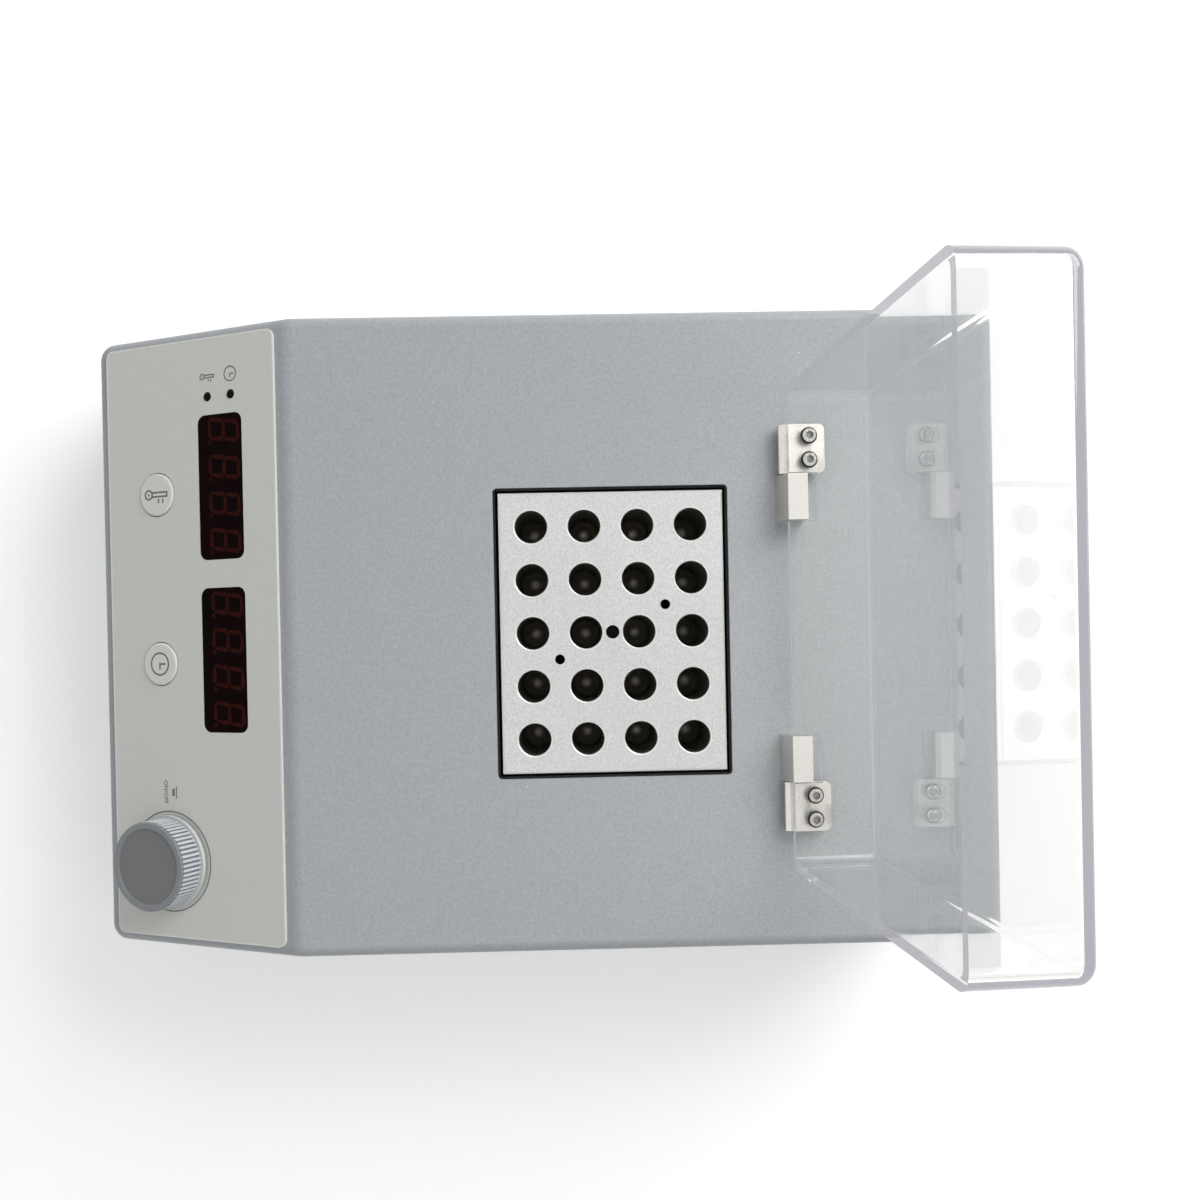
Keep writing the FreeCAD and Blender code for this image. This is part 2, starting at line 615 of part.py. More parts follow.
# Feet and the screws that hold the casing together
HEAD_HOLE = "(head_radius + 2 * screw_clearance)"
made = []
for n, (x, y, z) in enumerate(foot_spots):
    foot = doc.addObject("Part::Cone", f"foot{n}")
    tie(foot, "Radius1", "foot_radius - foot_taper")
    tie(foot, "Radius2", "foot_radius")
    tie(foot, "Height", "foot_height")
    foot.Placement = at(x, y)
    socket = rod(f"foot_socket{n}", HEAD_HOLE, "foot_height / 2", x, y)
    hole = rod(f"foot_hole{n}", "screw_radius + screw_clearance", "foot_height", x, y)
    made.append(cut(f"foot_cut{n}", foot, socket, hole))
group("rubber_feet", made)
screws("foot_screws", [(x, y, "foot_height / 2") for x, y, z in foot_spots], "foot_height")
screws("cover_screws", [(x, y, "foot_height") for x, y, z in cover_screw_spots], "foot_height")
screws("rear_panel_screws", rear_screw_spots, "rear_wall + tray_wall", turn=REARWARD)

# Control overlay: a thin plate on the slope with rounded corners, cut out for what shows in it
overlay = new_body("front_overlay", PANEL)
OVERLAY_MIDDLE = "(overlay_start + overlay_length / 2)"
sheet = sketch(overlay, "XY_Plane")
rectangle(sheet, "overlay_width", "overlay_length", y=f"-{OVERLAY_MIDDLE}")
pad(overlay, sheet, "overlay_thick")
fillet(overlay, upright, "overlay_round")
apertures = sketch(overlay, "XY_Plane", at(z="overlay_thick"))
window_spots = [(f"(window_left + {n} * window_pitch)", "-window_drop") for n in ("0", "1")]
button_spots = [(f"({x} + button_shift)", "-button_drop") for x, y in window_spots]
lamp_spots = [("lamp_left", f"(-lamp_drop - {n} * lamp_pitch)") for n in ("0", "1")]
for x, y in window_spots:
    rectangle(apertures, "window_width + 2 * window_gap", "window_height + 2 * window_gap", x, y)
for x, y in button_spots:
    circle(apertures, "button_radius + button_gap", x, y)
for x, y in lamp_spots:
    circle(apertures, "lamp_radius + lamp_gap", x, y)
circle(apertures, "nut_flats / sqrt(3) + nut_gap", "knob_x", "-knob_drop")
pocket(overlay, apertures, "2 * overlay_thick")
corner_box = mm("window_height + 1")
fillet(overlay, lambda box: upright(box) and abs(box.YMin + mm("window_drop")) < corner_box / 2
       and abs(box.XMin) < mm("overlay_width / 2 - 1"), "window_round")

# Displays: dark window on the sheet's ledge, four-digit module under it on the control board
for n, kind in enumerate(("heat", "timer")):
    x, y = window_spots[n]
    pane = new_body(f"{kind}_window", PANEL)
    drawing = sketch(pane, "XY_Plane")
    rectangle(drawing, "window_width", "window_height", x, y)
    pad(pane, drawing, "overlay_thick")
    fillet(pane, upright, "window_round")
    module = block(f"{kind}_module",
                   ("window_width - 2 * window_ledge - 4 * window_gap",
                    "window_height - 2 * window_ledge - 4 * window_gap",
                    f"-{BOARD_TOP} - window_gap"), x, y, BOARD_TOP, PANEL)
    piece(module, f"{kind}_display")

    # Lamp: a round-nosed diode that stands on the board and shows in its hole
    x, y = lamp_spots[n]
    lamp = new_body(f"{kind}_lamp", PANEL * at(x, y, BOARD_TOP))
    outline = sketch(lamp, "XY_Plane")
    circle(outline, "lamp_radius")
    pad(lamp, outline, f"overlay_thick + lamp_proud - {BOARD_TOP}")
    fillet(lamp, lambda box: box.ZLength < 0.01 and box.ZMin > 1, "lamp_round")

    # Button: round cap kept in by a wider ring under the sheet, with a post over its switch
    x, y = button_spots[n]
    button = new_body(f"{kind}_button", PANEL * at(x, y))
    section = sketch(button, "XZ_Plane")
    CAP_TOP = "(overlay_thick + button_proud)"
    RING_TOP = "(-cover_wall - running_gap)"
    POST_END = f"({BOARD_TOP} + switch_height + switch_gap + button_travel)"
    polygon(section, [
        ("0", POST_END), ("button_post", POST_END), ("button_post", f"{RING_TOP} - button_flange"),
        ("button_radius + button_flange", f"{RING_TOP} - button_flange"),
        ("button_radius + button_flange", RING_TOP), ("button_radius", RING_TOP),
        ("button_radius", f"{CAP_TOP} - button_proud / 2"),
        ("button_radius - button_proud", CAP_TOP), ("0", CAP_TOP)])
    turned(button, "Revolution", section)
    switch = block(f"{kind}_tact", ("switch_width", "switch_width", "switch_height"), x, y,
                   BOARD_TOP, PANEL)
    piece(switch, f"{kind}_switch")

# Control board under the slope, hung from the sheet on standoffs
board = block("control_sheet", (BOARD_WIDE, "board_length", "board_thick"),
              "0", "-board_drop", f"{BOARD_TOP} - board_thick", PANEL)
board_spots = corners("body_width / 2 - board_hole_x", "board_hole_y", middle_y="-board_drop")
board_cuts = [rod(f"board_hole{n}", "screw_radius + screw_clearance", "3 * board_thick", x, y,
                  f"{BOARD_TOP} - 2 * board_thick", PANEL) for n, (x, y, z) in enumerate(board_spots)]
piece(cut("control_cut", board, *board_cuts), "control_board")
sleeves = []
for n, (x, y, z) in enumerate(board_spots):
    post = rod(f"standoff{n}", "standoff_radius", "encoder_height", x, y, BOARD_TOP, PANEL)
    bore = rod(f"standoff_bore{n}", "screw_radius + running_gap", "encoder_height - cover_wall", x, y,
               BOARD_TOP, PANEL)
    sleeves.append(cut(f"standoff_cut{n}", post, bore))
group("board_standoffs", sleeves)
screws("board_screws", [(x, y, f"{BOARD_TOP} - board_thick") for x, y, z in board_spots],
       "board_thick + encoder_height / 2", PANEL)

# Encoder: square housing under the sheet, threaded neck with a nut, shaft that turns in the neck
# and rests on a plunger that it pushes down.
KNOB_AT = PANEL * at("knob_x", "-knob_drop")
BORE = "(shaft_radius + running_gap)"
SHAFT_FOOT = "(-cover_wall - shaft_depth)"
housing = block("encoder_case", ("encoder_width", "encoder_width", "encoder_height"),
                z=BOARD_TOP, frame=KNOB_AT)
neck = rod("encoder_neck", "bushing_radius", "bushing_height", z="-cover_wall", frame=KNOB_AT)
shaft_bore = rod("encoder_bore", BORE, "bushing_height + shaft_depth", z=SHAFT_FOOT, frame=KNOB_AT)
plunger_bore = rod("plunger_bore", "plunger_radius + running_gap", "shaft_depth",
                   z=f"{BOARD_TOP} + running_gap * 2", frame=KNOB_AT)
piece(cut("encoder_cut", fuse("encoder_solid", housing, neck), shaft_bore, plunger_bore), "encoder_body")
nut = doc.addObject("Part::Prism", "nut_hexagon")
nut.Polygon = 6
tie(nut, "Circumradius", "nut_flats / sqrt(3)")
tie(nut, "Height", "nut_height")
nut.Placement = KNOB_AT * at(z="0")
nut_bore = rod("nut_bore", "bushing_radius + running_gap", "3 * nut_height", z="-nut_height",
               frame=KNOB_AT)
piece(cut("nut_cut", nut, nut_bore), "encoder_nut")
PLUNGER_FOOT = f"({BOARD_TOP} + knob_travel + 4 * running_gap)"
plunger = rod("plunger_pin", "plunger_radius", f"{SHAFT_FOOT} + knob_travel - {PLUNGER_FOOT}",
              z=PLUNGER_FOOT, frame=KNOB_AT)
stem = rod("shaft_stem", "shaft_radius", "shaft_length - knob_travel",
           z=f"{SHAFT_FOOT} + knob_travel", frame=KNOB_AT)
flat = block("shaft_flat_cut", ("2 * shaft_radius", "2 * shaft_radius", "knob_height"),
             x="2 * shaft_radius - shaft_flat", z="knob_gap + overlay_thick + knob_roof",
             frame=KNOB_AT)
piece(plunger, "push_plunger")
piece(cut("shaft_cut", stem, flat), "encoder_shaft")

# Knob: ribbed grip on a plain ring, dished face inside a raised rim, hollow below with a hub that
# takes the flatted shaft.
knob = new_body("knob", KNOB_AT * at(z="overlay_thick + knob_gap"))
drawing = sketch(knob, "XZ_Plane")
SHAFT_TOP = f"({SHAFT_FOOT} + shaft_length - overlay_thick - knob_gap)"
HUB_FOOT = "(bushing_height - cover_wall - overlay_thick - knob_gap + knob_travel + 4 * running_gap)"
polygon(drawing, [
    ("knob_foot - knob_shell", "0"), ("knob_foot", "0"), ("knob_foot", "knob_foot_height"),
    ("knob_radius", "knob_foot_height"), ("knob_radius", "knob_height - knob_dish"),
    ("knob_radius - knob_dish", "knob_height"), ("knob_radius - knob_rim", "knob_height"),
    ("knob_radius - knob_rim - knob_dish", "knob_height - knob_dish"), ("0", "knob_height - knob_dish"),
    ("0", SHAFT_TOP), ("shaft_radius + running_gap", SHAFT_TOP),
    ("shaft_radius + running_gap", HUB_FOOT), ("knob_hub", HUB_FOOT),
    ("knob_hub", "knob_height - knob_roof"), ("knob_foot - knob_shell", "knob_height - knob_roof")])
turned(knob, "Revolution", drawing)
groove = sketch(knob, "XY_Plane", at(z="knob_height"))
polygon(groove, [("knob_radius + rib_depth", "-rib_mouth / 2"),
                 ("knob_radius + rib_depth", "rib_mouth / 2"),
                 ("knob_radius - rib_depth", "rib_root / 2"),
                 ("knob_radius - rib_depth", "-rib_root / 2")])
groove_cut = pocket(knob, groove, "knob_height - knob_foot_height")
ribs = knob.newObject("PartDesign::PolarPattern", "knob_ribs")
ribs.Originals = [groove_cut]
ribs.Axis = (groove, ["N_Axis"])
ribs.Angle = 360
ribs.Occurrences = int(mm("rib_count"))
knob.Tip = ribs
doc.recompute()

# Tube block: solid aluminium with a grid of round-bottomed wells, a lifting thread in the middle
# and two probe holes.
tubes = new_body("tube_block", at(y="block_y", z=BLOCK_FLOOR))
drawing = sketch(tubes, "XY_Plane")
rectangle(drawing, "block_width", "block_depth")
pad(tubes, drawing, "block_height")
fillet(tubes, lambda box: box.ZMin > mm("block_height") - 0.01, "block_edge", "Chamfer", "Size")
first_x = "-(wells_across - 1) / 2 * well_pitch"
first_y = "-(wells_deep - 1) / 2 * well_pitch"
well = sketch(tubes, "XZ_Plane", at(x=first_x, z=f"-({first_y})"))
WELL_BASE = "(block_height - well_depth + well_radius)"
polygon(well, [("0", WELL_BASE), ("well_radius", WELL_BASE), ("well_radius", "block_height - well_edge"),
               ("well_radius + well_edge", "block_height"), ("0", "block_height")])
first_well = turned(tubes, "Groove", well)
first_bottom = tubes.newObject("PartDesign::SubtractiveSphere", "well_bottom")
tie(first_bottom, "Radius", "well_radius")
first_bottom.Placement = at(first_x, first_y, WELL_BASE)
doc.recompute()
wells = tubes.newObject("PartDesign::LinearPattern", "wells")
wells.Originals = [first_well, first_bottom]
x_axis = next(f for f in tubes.Origin.OriginFeatures if f.Role == "X_Axis")
y_axis = next(f for f in tubes.Origin.OriginFeatures if f.Role == "Y_Axis")
wells.Direction = (x_axis, [""])
tie(wells, "Length", "(wells_across - 1) * well_pitch")
wells.Occurrences = int(mm("wells_across"))
wells.Direction2 = (y_axis, [""])
tie(wells, "Length2", "(wells_deep - 1) * well_pitch")
wells.Occurrences2 = int(mm("wells_deep"))
tubes.Tip = wells
doc.recompute()
lift = sketch(tubes, "XY_Plane", at(z="block_height"))
circle(lift, "lift_radius")
pocket(tubes, lift, "lift_depth")
probes = sketch(tubes, "XY_Plane", at(z="block_height"))
for side in ("-1", "1"):
    circle(probes, "probe_radius", f"{side} * -probe_x", f"{side} * probe_y")
pocket(tubes, probes, "probe_depth")

# Liner: thin sleeve round the block, hung from the cover by its flange
liner = new_body("block_liner", at(y="block_y"))
LINER_TOP = "(top_height - cover_wall)"
drawing = sketch(liner, "XY_Plane", at(z=SLAB_FLOOR))
rectangle(drawing, LINER_X, LINER_Y)
pad(liner, drawing, f"{LINER_TOP} - {SLAB_FLOOR}")
flange = sketch(liner, "XY_Plane", at(z=LINER_TOP))
rectangle(flange, f"{LINER_X} + 2 * liner_flange", f"{LINER_Y} + 2 * liner_flange")
pad(liner, flange, "liner_wall", reverse=True)
inside = sketch(liner, "XY_Plane", at(z=LINER_TOP))
rectangle(inside, "block_width + 2 * well_gap", "block_depth + 2 * well_gap")
pocket(liner, inside, f"2 * {LINER_TOP}")

# Heater stack: plate, mat and insulation under the block, on a folded bracket
BLOCK_SPOT = ("0", "block_y")
heater_spots = corners("heater_hole_x", "heater_hole_y", middle_y="block_y")
SENSOR_Y, CUTOUT_Y = "(block_y + sensor_y)", "(block_y + cutout_y)"


def drilled(name, solid, low, high):
    """Cut the stack's screw, probe and cut-out holes through a layer."""
    tools = [rod(f"{name}_hole{n}", "screw_radius + screw_clearance", f"{high} - {low}", x, y, low)
             for n, (x, y, z) in enumerate(heater_spots)]
    tools.append(rod(f"{name}_probe", "sensor_radius + running_gap", f"{high} - {low}",
                     "sensor_x", SENSOR_Y, low))
    tools.append(rod(f"{name}_cutout", "cutout_radius + screw_clearance", f"{high} - {low}",
                     "cutout_x", CUTOUT_Y, low))
    return cut(name, solid, *tools)


plate = block("plate_solid", ("block_width", "block_depth", "plate_height"), *BLOCK_SPOT, PLATE_FLOOR)
plate_tools = [rod(f"plate_hole{n}", "screw_radius + running_gap", "plate_thread", x, y, PLATE_FLOOR)
               for n, (x, y, z) in enumerate(heater_spots)]
plate_tools.append(rod("plate_probe", "sensor_radius + running_gap", "sensor_seat", "sensor_x", SENSOR_Y,
                       PLATE_FLOOR))
piece(cut("plate_cut", plate, *plate_tools), "heater_plate")
mat = block("mat_solid", ("block_width", "block_depth", "mat_height"), *BLOCK_SPOT, MAT_FLOOR)
piece(drilled("mat_cut", mat, MAT_FLOOR, PLATE_FLOOR), "heater_mat")
slab = block("slab_solid", ("block_width", "block_depth", "slab_height"), *BLOCK_SPOT, SLAB_FLOOR)
piece(drilled("slab_cut", slab, SLAB_FLOOR, MAT_FLOOR), "insulation_base")
COLLAR_TOP = f"({LINER_TOP} - liner_wall - collar_drop)"
collar = block("collar_solid", (f"{LINER_X} + 2 * collar_wall", f"{LINER_Y} + 2 * collar_wall",
                                f"{COLLAR_TOP} - {SLAB_FLOOR}"), *BLOCK_SPOT, SLAB_FLOOR)
core = block("collar_core", (LINER_X, LINER_Y, "block_height + top_height"), *BLOCK_SPOT)
piece(cut("collar_cut", collar, core), "insulation_collar")

bracket = new_body("heater_bracket", at(y="block_y"))
SPAN = f"({LINER_X} / 2 + collar_wall)"
drawing = sketch(bracket, "XZ_Plane")
polygon(drawing, [
    (f"-{SPAN} - bracket_foot", TRAY_TOP), (f"bracket_wall - {SPAN}", TRAY_TOP),
    (f"bracket_wall - {SPAN}", f"{SLAB_FLOOR} - bracket_wall"),
    (f"{SPAN} - bracket_wall", f"{SLAB_FLOOR} - bracket_wall"), (f"{SPAN} - bracket_wall", TRAY_TOP),
    (f"{SPAN} + bracket_foot", TRAY_TOP), (f"{SPAN} + bracket_foot", f"{TRAY_TOP} + bracket_wall"),
    (SPAN, f"{TRAY_TOP} + bracket_wall"), (SPAN, SLAB_FLOOR), (f"-{SPAN}", SLAB_FLOOR),
    (f"-{SPAN}", f"{TRAY_TOP} + bracket_wall"),
    (f"-{SPAN} - bracket_foot", f"{TRAY_TOP} + bracket_wall")])
pad(bracket, drawing, "bracket_depth", symmetric=True)
holes = sketch(bracket, "XY_Plane", at(z=SLAB_FLOOR))
for x, y, z in corners("heater_hole_x", "heater_hole_y"):
    circle(holes, "screw_radius + screw_clearance", x, y)
circle(holes, "sensor_radius + running_gap", "sensor_x", "sensor_y")
circle(holes, "cutout_radius + screw_clearance", "cutout_x", "cutout_y")
for x, y, z in bracket_spots:
    circle(holes, "screw_radius + screw_clearance", x, f"{y} - block_y")
pocket(bracket, holes, "top_height")
screws("heater_screws", [(x, y, f"{SLAB_FLOOR} - bracket_wall") for x, y, z in heater_spots],
       "bracket_wall + slab_height + mat_height + plate_thread - screw_clearance")
screws("bracket_screws", [(x, y, f"{TRAY_TOP} + bracket_wall") for x, y, z in bracket_spots],
       "bracket_wall + 2 * tray_wall", turn=FLIPPED)
piece(rod("sensor", "sensor_radius", "sensor_length", "sensor_x", SENSOR_Y,
          f"{PLATE_FLOOR} + sensor_seat - sensor_length"), "temperature_probe")
piece(rod("cutout", "cutout_radius", "cutout_height", "cutout_x", CUTOUT_Y,
          f"{PLATE_FLOOR} - cutout_height"), "thermal_cutout")

# Mains inlet: flanged housing in the rear panel with a recess for the connector and a slot for the
# fuse drawer under it.
OUTER_Y = f"({REAR_INSIDE} + cover_wall)"
inlet = new_body("inlet_socket")
drawing = sketch(inlet, "XZ_Plane", at(z=f"-{OUTER_Y}"))
rectangle(drawing, "inlet_flange_x", "inlet_flange_z", INLET_X, "inlet_z")
pad(inlet, drawing, "cover_wall")
fillet(inlet, lambda box: box.YLength > 0.5 and box.XLength < 0.01 and box.ZLength < 0.01, "corner_round")
shank = sketch(inlet, "XZ_Plane", at(z=f"-{REAR_INSIDE}"))
rectangle(shank, "inlet_body_x", "inlet_body_z", INLET_X, "inlet_z")
pad(inlet, shank, "inlet_body_y")
RECESS_Z = "(inlet_z + recess_lift)"
mouth = sketch(inlet, "XZ_Plane", at(z=f"-{OUTER_Y}"))
left, right = f"({INLET_X} - recess_x / 2)", f"({INLET_X} + recess_x / 2)"
low, high = f"({RECESS_Z} - recess_z / 2)", f"({RECESS_Z} + recess_z / 2)"
polygon(mouth, [(left, low), (right, low), (right, f"{high} - recess_cut"),
                (f"{right} - recess_cut", high), (f"{left} + recess_cut", high),
                (left, f"{high} - recess_cut")])
pocket(inlet, mouth, "recess_depth", reverse=True)
DRAWER_Z = "(inlet_z - drawer_drop)"
tunnel = sketch(inlet, "XZ_Plane", at(z=f"-{OUTER_Y}"))
rectangle(tunnel, "drawer_x + 2 * drawer_gap", "drawer_z + 2 * drawer_gap", INLET_X, DRAWER_Z)
pocket(inlet, tunnel, "drawer_y + drawer_gap", reverse=True)
holes = sketch(inlet, "XZ_Plane", at(z=f"-{OUTER_Y}"))
for x in (f"{INLET_X} - inlet_hole_x", f"{INLET_X} + inlet_hole_x"):
    circle(holes, "screw_radius + screw_clearance", x, "inlet_z")
pocket(inlet, holes, "2 * cover_wall", reverse=True)
pins = []
for n, (step, lift) in enumerate((("-1", "-1"), ("0", "1"), ("1", "-1"))):
    pins.append(block(f"contact{n}", ("pin_width", "pin_length", "pin_height"),
                      f"{INLET_X} + {step} * pin_pitch", f"{OUTER_Y} - recess_depth + pin_length / 2",
                      f"{RECESS_Z} + {lift} * pin_step - pin_height / 2"))
group("inlet_pins", pins)
screws("inlet_screws", [(f"{INLET_X} + {side} * inlet_hole_x", f"{REAR_INSIDE} - rear_wall", "inlet_z")
                        for side in ("-1", "1")], "rear_wall + cover_wall / 2", turn=REARWARD)
drawer = new_body("fuse_drawer", at(INLET_X, OUTER_Y, DRAWER_Z))
drawing = sketch(drawer, "XZ_Plane")
rectangle(drawing, "drawer_x", "drawer_z")
pad(drawer, drawing, "drawer_y")
trough = sketch(drawer, "XY_Plane", at(z="drawer_z / 2"))
rectangle(trough, "drawer_x - 2 * drawer_wall", "drawer_y - 3 * drawer_wall",
          y="-drawer_y / 2 - drawer_wall / 2")
pocket(drawer, trough, "drawer_z - drawer_wall")
finger = sketch(drawer, "XZ_Plane")
rectangle(finger, "drawer_x / 3", "drawer_wall", y="drawer_z / 2 - 1.5 * drawer_wall")
pocket(drawer, finger, "drawer_wall", reverse=True)
piece(rod("fuse_link", "fuse_radius", "drawer_x - 3 * drawer_wall",
          f"{INLET_X} - drawer_x / 2 + 1.5 * drawer_wall", f"{OUTER_Y} - drawer_y / 2",
          f"{DRAWER_Z} - drawer_z / 2 + drawer_wall + fuse_radius", turn=ACROSS), "fuse")

# Power board on standoffs behind the block, with its tall parts
POWER_FLOOR = f"({TRAY_TOP} + power_lift)"
POWER_TOP = f"({POWER_FLOOR} + board_thick)"
power = block("power_sheet", ("power_width", "power_depth", "board_thick"), POWER_X, POWER_Y,
              POWER_FLOOR)
power_cuts = [rod(f"power_hole{n}", "screw_radius + screw_clearance", "board_thick", x, y, POWER_FLOOR)
              for n, (x, y, z) in enumerate(power_spots)]
piece(cut("power_cut", power, *power_cuts), "power_board")
sleeves = []
for n, (x, y, z) in enumerate(power_spots):
    post = rod(f"power_post{n}", "standoff_radius", "power_lift", x, y, z)
    bore = rod(f"power_bore{n}", "screw_radius + running_gap", "power_lift", x, y, z)
    sleeves.append(cut(f"power_sleeve{n}", post, bore))
group("power_standoffs", sleeves)
screws("power_screws", [(x, y, POWER_TOP) for x, y, z in power_spots],
       "board_thick + power_lift + tray_wall", turn=FLIPPED)
piece(block("core", ("core_width", "core_depth", "core_height"),
            f"{POWER_X} - power_width / 2 + core_width / 2 + core_inset", POWER_Y, POWER_TOP), "transformer")
sink = new_body("heat_sink", at(f"{POWER_X} + power_width / 2 - sink_width", POWER_Y, POWER_TOP))
drawing = sketch(sink, "XY_Plane")
rectangle(drawing, "sink_width", "sink_fin")
pad(sink, drawing, "sink_height")
fin = sketch(sink, "XY_Plane")
rectangle(fin, "sink_fin", "sink_depth", "sink_fin / 2 - sink_width / 2")
row(sink, "sink_row", pad(sink, fin, "sink_height"), fin, "sink_width - sink_fin", "sink_fins")
piece(block("terminals", ("terminal_width", "terminal_depth", "terminal_height"), POWER_X,
            f"{POWER_Y} + power_depth / 2 - terminal_depth / 2", POWER_TOP), "terminal_block")
piece(rod("can", "can_radius", "can_height", POWER_X, f"{POWER_Y} - can_radius", POWER_TOP),
      "capacitor")

# Clear lid, drawn closed about the hinge axis, which lies behind it: a box open below, with rounded
# corners and notches in its rear wall for the hinge bases.
lid = new_body("lid", HINGE_OPEN)
drawing = sketch(lid, "XY_Plane", at(z=RIM))
rectangle(drawing, "lid_width", "lid_depth", y="-knuckle_front - lid_depth / 2")
pad(lid, drawing, "lid_height")
fillet(lid, upright, "lid_round")
lid_top = mm(f"{RIM} + lid_height")
fillet(lid, lambda box: box.ZMin > lid_top - 0.01, "lid_edge")
shell(lid, "lid_wall")
notches = sketch(lid, "XZ_Plane")
BASE_SWEEP = "(sqrt(base_rear * base_rear + (base_height - hinge_z) * (base_height - hinge_z)) + notch_gap)"
for side in ("-1", "1"):
    rectangle(notches, "base_width + 2 * notch_gap", f"2 * {BASE_SWEEP}", f"{side} * {BASE_MIDDLE}")
pocket(lid, notches, "4 * (knuckle_front + lid_wall)", symmetric=True)
lid_screw_spots = [(f"{side} * ({LEAF_START} + leaf_width / 2 {step} lid_screw_pitch / 2)",
                    "-knuckle_front - lid_wall", "lid_screw_up")
                   for side in ("-1", "1") for step in "-+"]
holes = sketch(lid, "XZ_Plane")
for x, y, z in lid_screw_spots:
    circle(holes, "lid_screw + screw_clearance", x, z)
pocket(lid, holes, "4 * (knuckle_front + lid_wall)", symmetric=True)
screws("lid_screws", lid_screw_spots, "lid_wall + leaf_thick", HINGE_OPEN, REARWARD,
       "lid_screw", "lid_head", "lid_head_height")

# Hinges: a block on the cover at the inner side, and beside it a leaf whose plate lies on the lid's
# rear wall and whose knuckle turns on the pin.
hinge_pins = []
for name, side in (("left", "-1"), ("right", "1")):
    base = new_body(f"hinge_base_{name}", HINGE_AT * at(x=f"{side} * {BASE_MIDDLE}"))
    drawing = sketch(base, "YZ_Plane")
    polygon(drawing, [("-base_toe", "-hinge_z"), ("base_rear", "-hinge_z"),
                      ("base_rear", "base_height - hinge_z"), ("-base_front", "base_height - hinge_z")])
    pad(base, drawing, "base_width", symmetric=True)
    bore = sketch(base, "YZ_Plane")
    circle(bore, "hinge_pin + running_gap")
    pocket(base, bore, "2 * base_width", symmetric=True)
    threads = sketch(base, "XY_Plane", at(z="-hinge_z"))
    for step in ("-1", "1"):
        circle(threads, "screw_radius + running_gap", f"{step} * base_screw_x", "base_screw_y")
    pocket(base, threads, "base_thread", reverse=True)

    leaf = new_body(f"hinge_leaf_{name}", HINGE_OPEN * at(x=f"{side} * ({LEAF_START} + leaf_width / 2)"))
    section = sketch(leaf, "YZ_Plane")
    PLATE_REAR = "leaf_thick - knuckle_front"
    polygon(section, [
        ("-knuckle_front", "-knuckle_low + knuckle_edge"), ("knuckle_edge - knuckle_front", "-knuckle_low"),
        ("knuckle_rear - knuckle_edge", "-knuckle_low"), ("knuckle_rear", "-knuckle_low + knuckle_edge"),
        ("knuckle_rear", "knuckle_top - knuckle_edge"), ("knuckle_rear - knuckle_edge", "knuckle_top"),
        (PLATE_REAR, "knuckle_top"), (PLATE_REAR, "leaf_reach"), ("-knuckle_front", "leaf_reach")])
    pad(leaf, section, "leaf_width", symmetric=True)
    fillet(leaf, lambda box: box.YLength > 0.5 and box.XLength < 0.01 and box.ZLength < 0.01
           and box.ZMin > mm("leaf_reach") - 0.01, "leaf_corner")
    bore = sketch(leaf, "YZ_Plane")
    circle(bore, "hinge_pin + running_gap")
    pocket(leaf, bore, "2 * leaf_width", symmetric=True)
    holes = sketch(leaf, "XZ_Plane")
    for step in "-+":
        circle(holes, "lid_screw + running_gap", f"{step} lid_screw_pitch / 2", "lid_screw_up")
    pocket(leaf, holes, "4 * knuckle_front", symmetric=True)
    pin_length = "(base_width + leaf_gap + leaf_width)"
    low = f"{side} * (base_start + {pin_length} / 2) - {pin_length} / 2"
    hinge_pins.append(rod(f"pin_{name}", "hinge_pin", pin_length, low, frame=HINGE_AT, turn=ACROSS))
group("hinge_pins", hinge_pins)
screws("hinge_base_screws", [(x, y, "top_height - cover_wall") for x, y in base_screw_spots],
       "cover_wall + base_thread - 2 * screw_clearance")

# Check every feature, then write each piece
doc.recompute()
broken = [thing.Name for thing in doc.Objects if {"Invalid", "Error"} & set(thing.State)]
broken += [solid.Label for solid in PIECES if solid.Shape.isNull() or not solid.Shape.isValid()]
if broken:
    raise RuntimeError("not sound: " + ", ".join(broken))
for solid in PIECES:
    solid.Shape.exportStep(f"parts/{solid.Label}.step")
print(f"{len(PIECES)} pieces written")
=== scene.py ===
"""Dry bath incubator: painted steel case, sloping panel, tube block and clear hinged lid."""
import math

import bmesh
import bpy
from mathutils import Matrix, Vector


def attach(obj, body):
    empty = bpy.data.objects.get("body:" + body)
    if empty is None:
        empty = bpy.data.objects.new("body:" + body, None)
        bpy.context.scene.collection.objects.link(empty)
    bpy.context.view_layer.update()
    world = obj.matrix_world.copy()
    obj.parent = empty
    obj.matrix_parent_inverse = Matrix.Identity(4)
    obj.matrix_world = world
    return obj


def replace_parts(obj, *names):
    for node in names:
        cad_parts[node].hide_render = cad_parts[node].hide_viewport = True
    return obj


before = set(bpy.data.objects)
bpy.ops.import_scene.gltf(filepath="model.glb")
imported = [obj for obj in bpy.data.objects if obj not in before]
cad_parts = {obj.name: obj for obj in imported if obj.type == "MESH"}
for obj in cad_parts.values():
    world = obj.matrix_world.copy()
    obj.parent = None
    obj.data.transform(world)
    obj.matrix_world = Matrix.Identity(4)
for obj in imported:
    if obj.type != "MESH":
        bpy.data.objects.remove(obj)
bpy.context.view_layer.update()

# Cover and rear panel: mild steel sheet, folded and powder coated in a cool mid grey. The powder
# melts into a fine orange peel, so the surface is satin with a soft pebbled relief, and it shows
# a few specks of dust.
MM = 0.001
NOISE_LOW, NOISE_HIGH = 0.3, 0.7  # nearly all values of a noise lie between these
HANDLING = 50  # usual width in millimetres of a patch that handling left glossier or duller
SPECK_CORE = 0.6  # share of a speck's radius that is fully covered


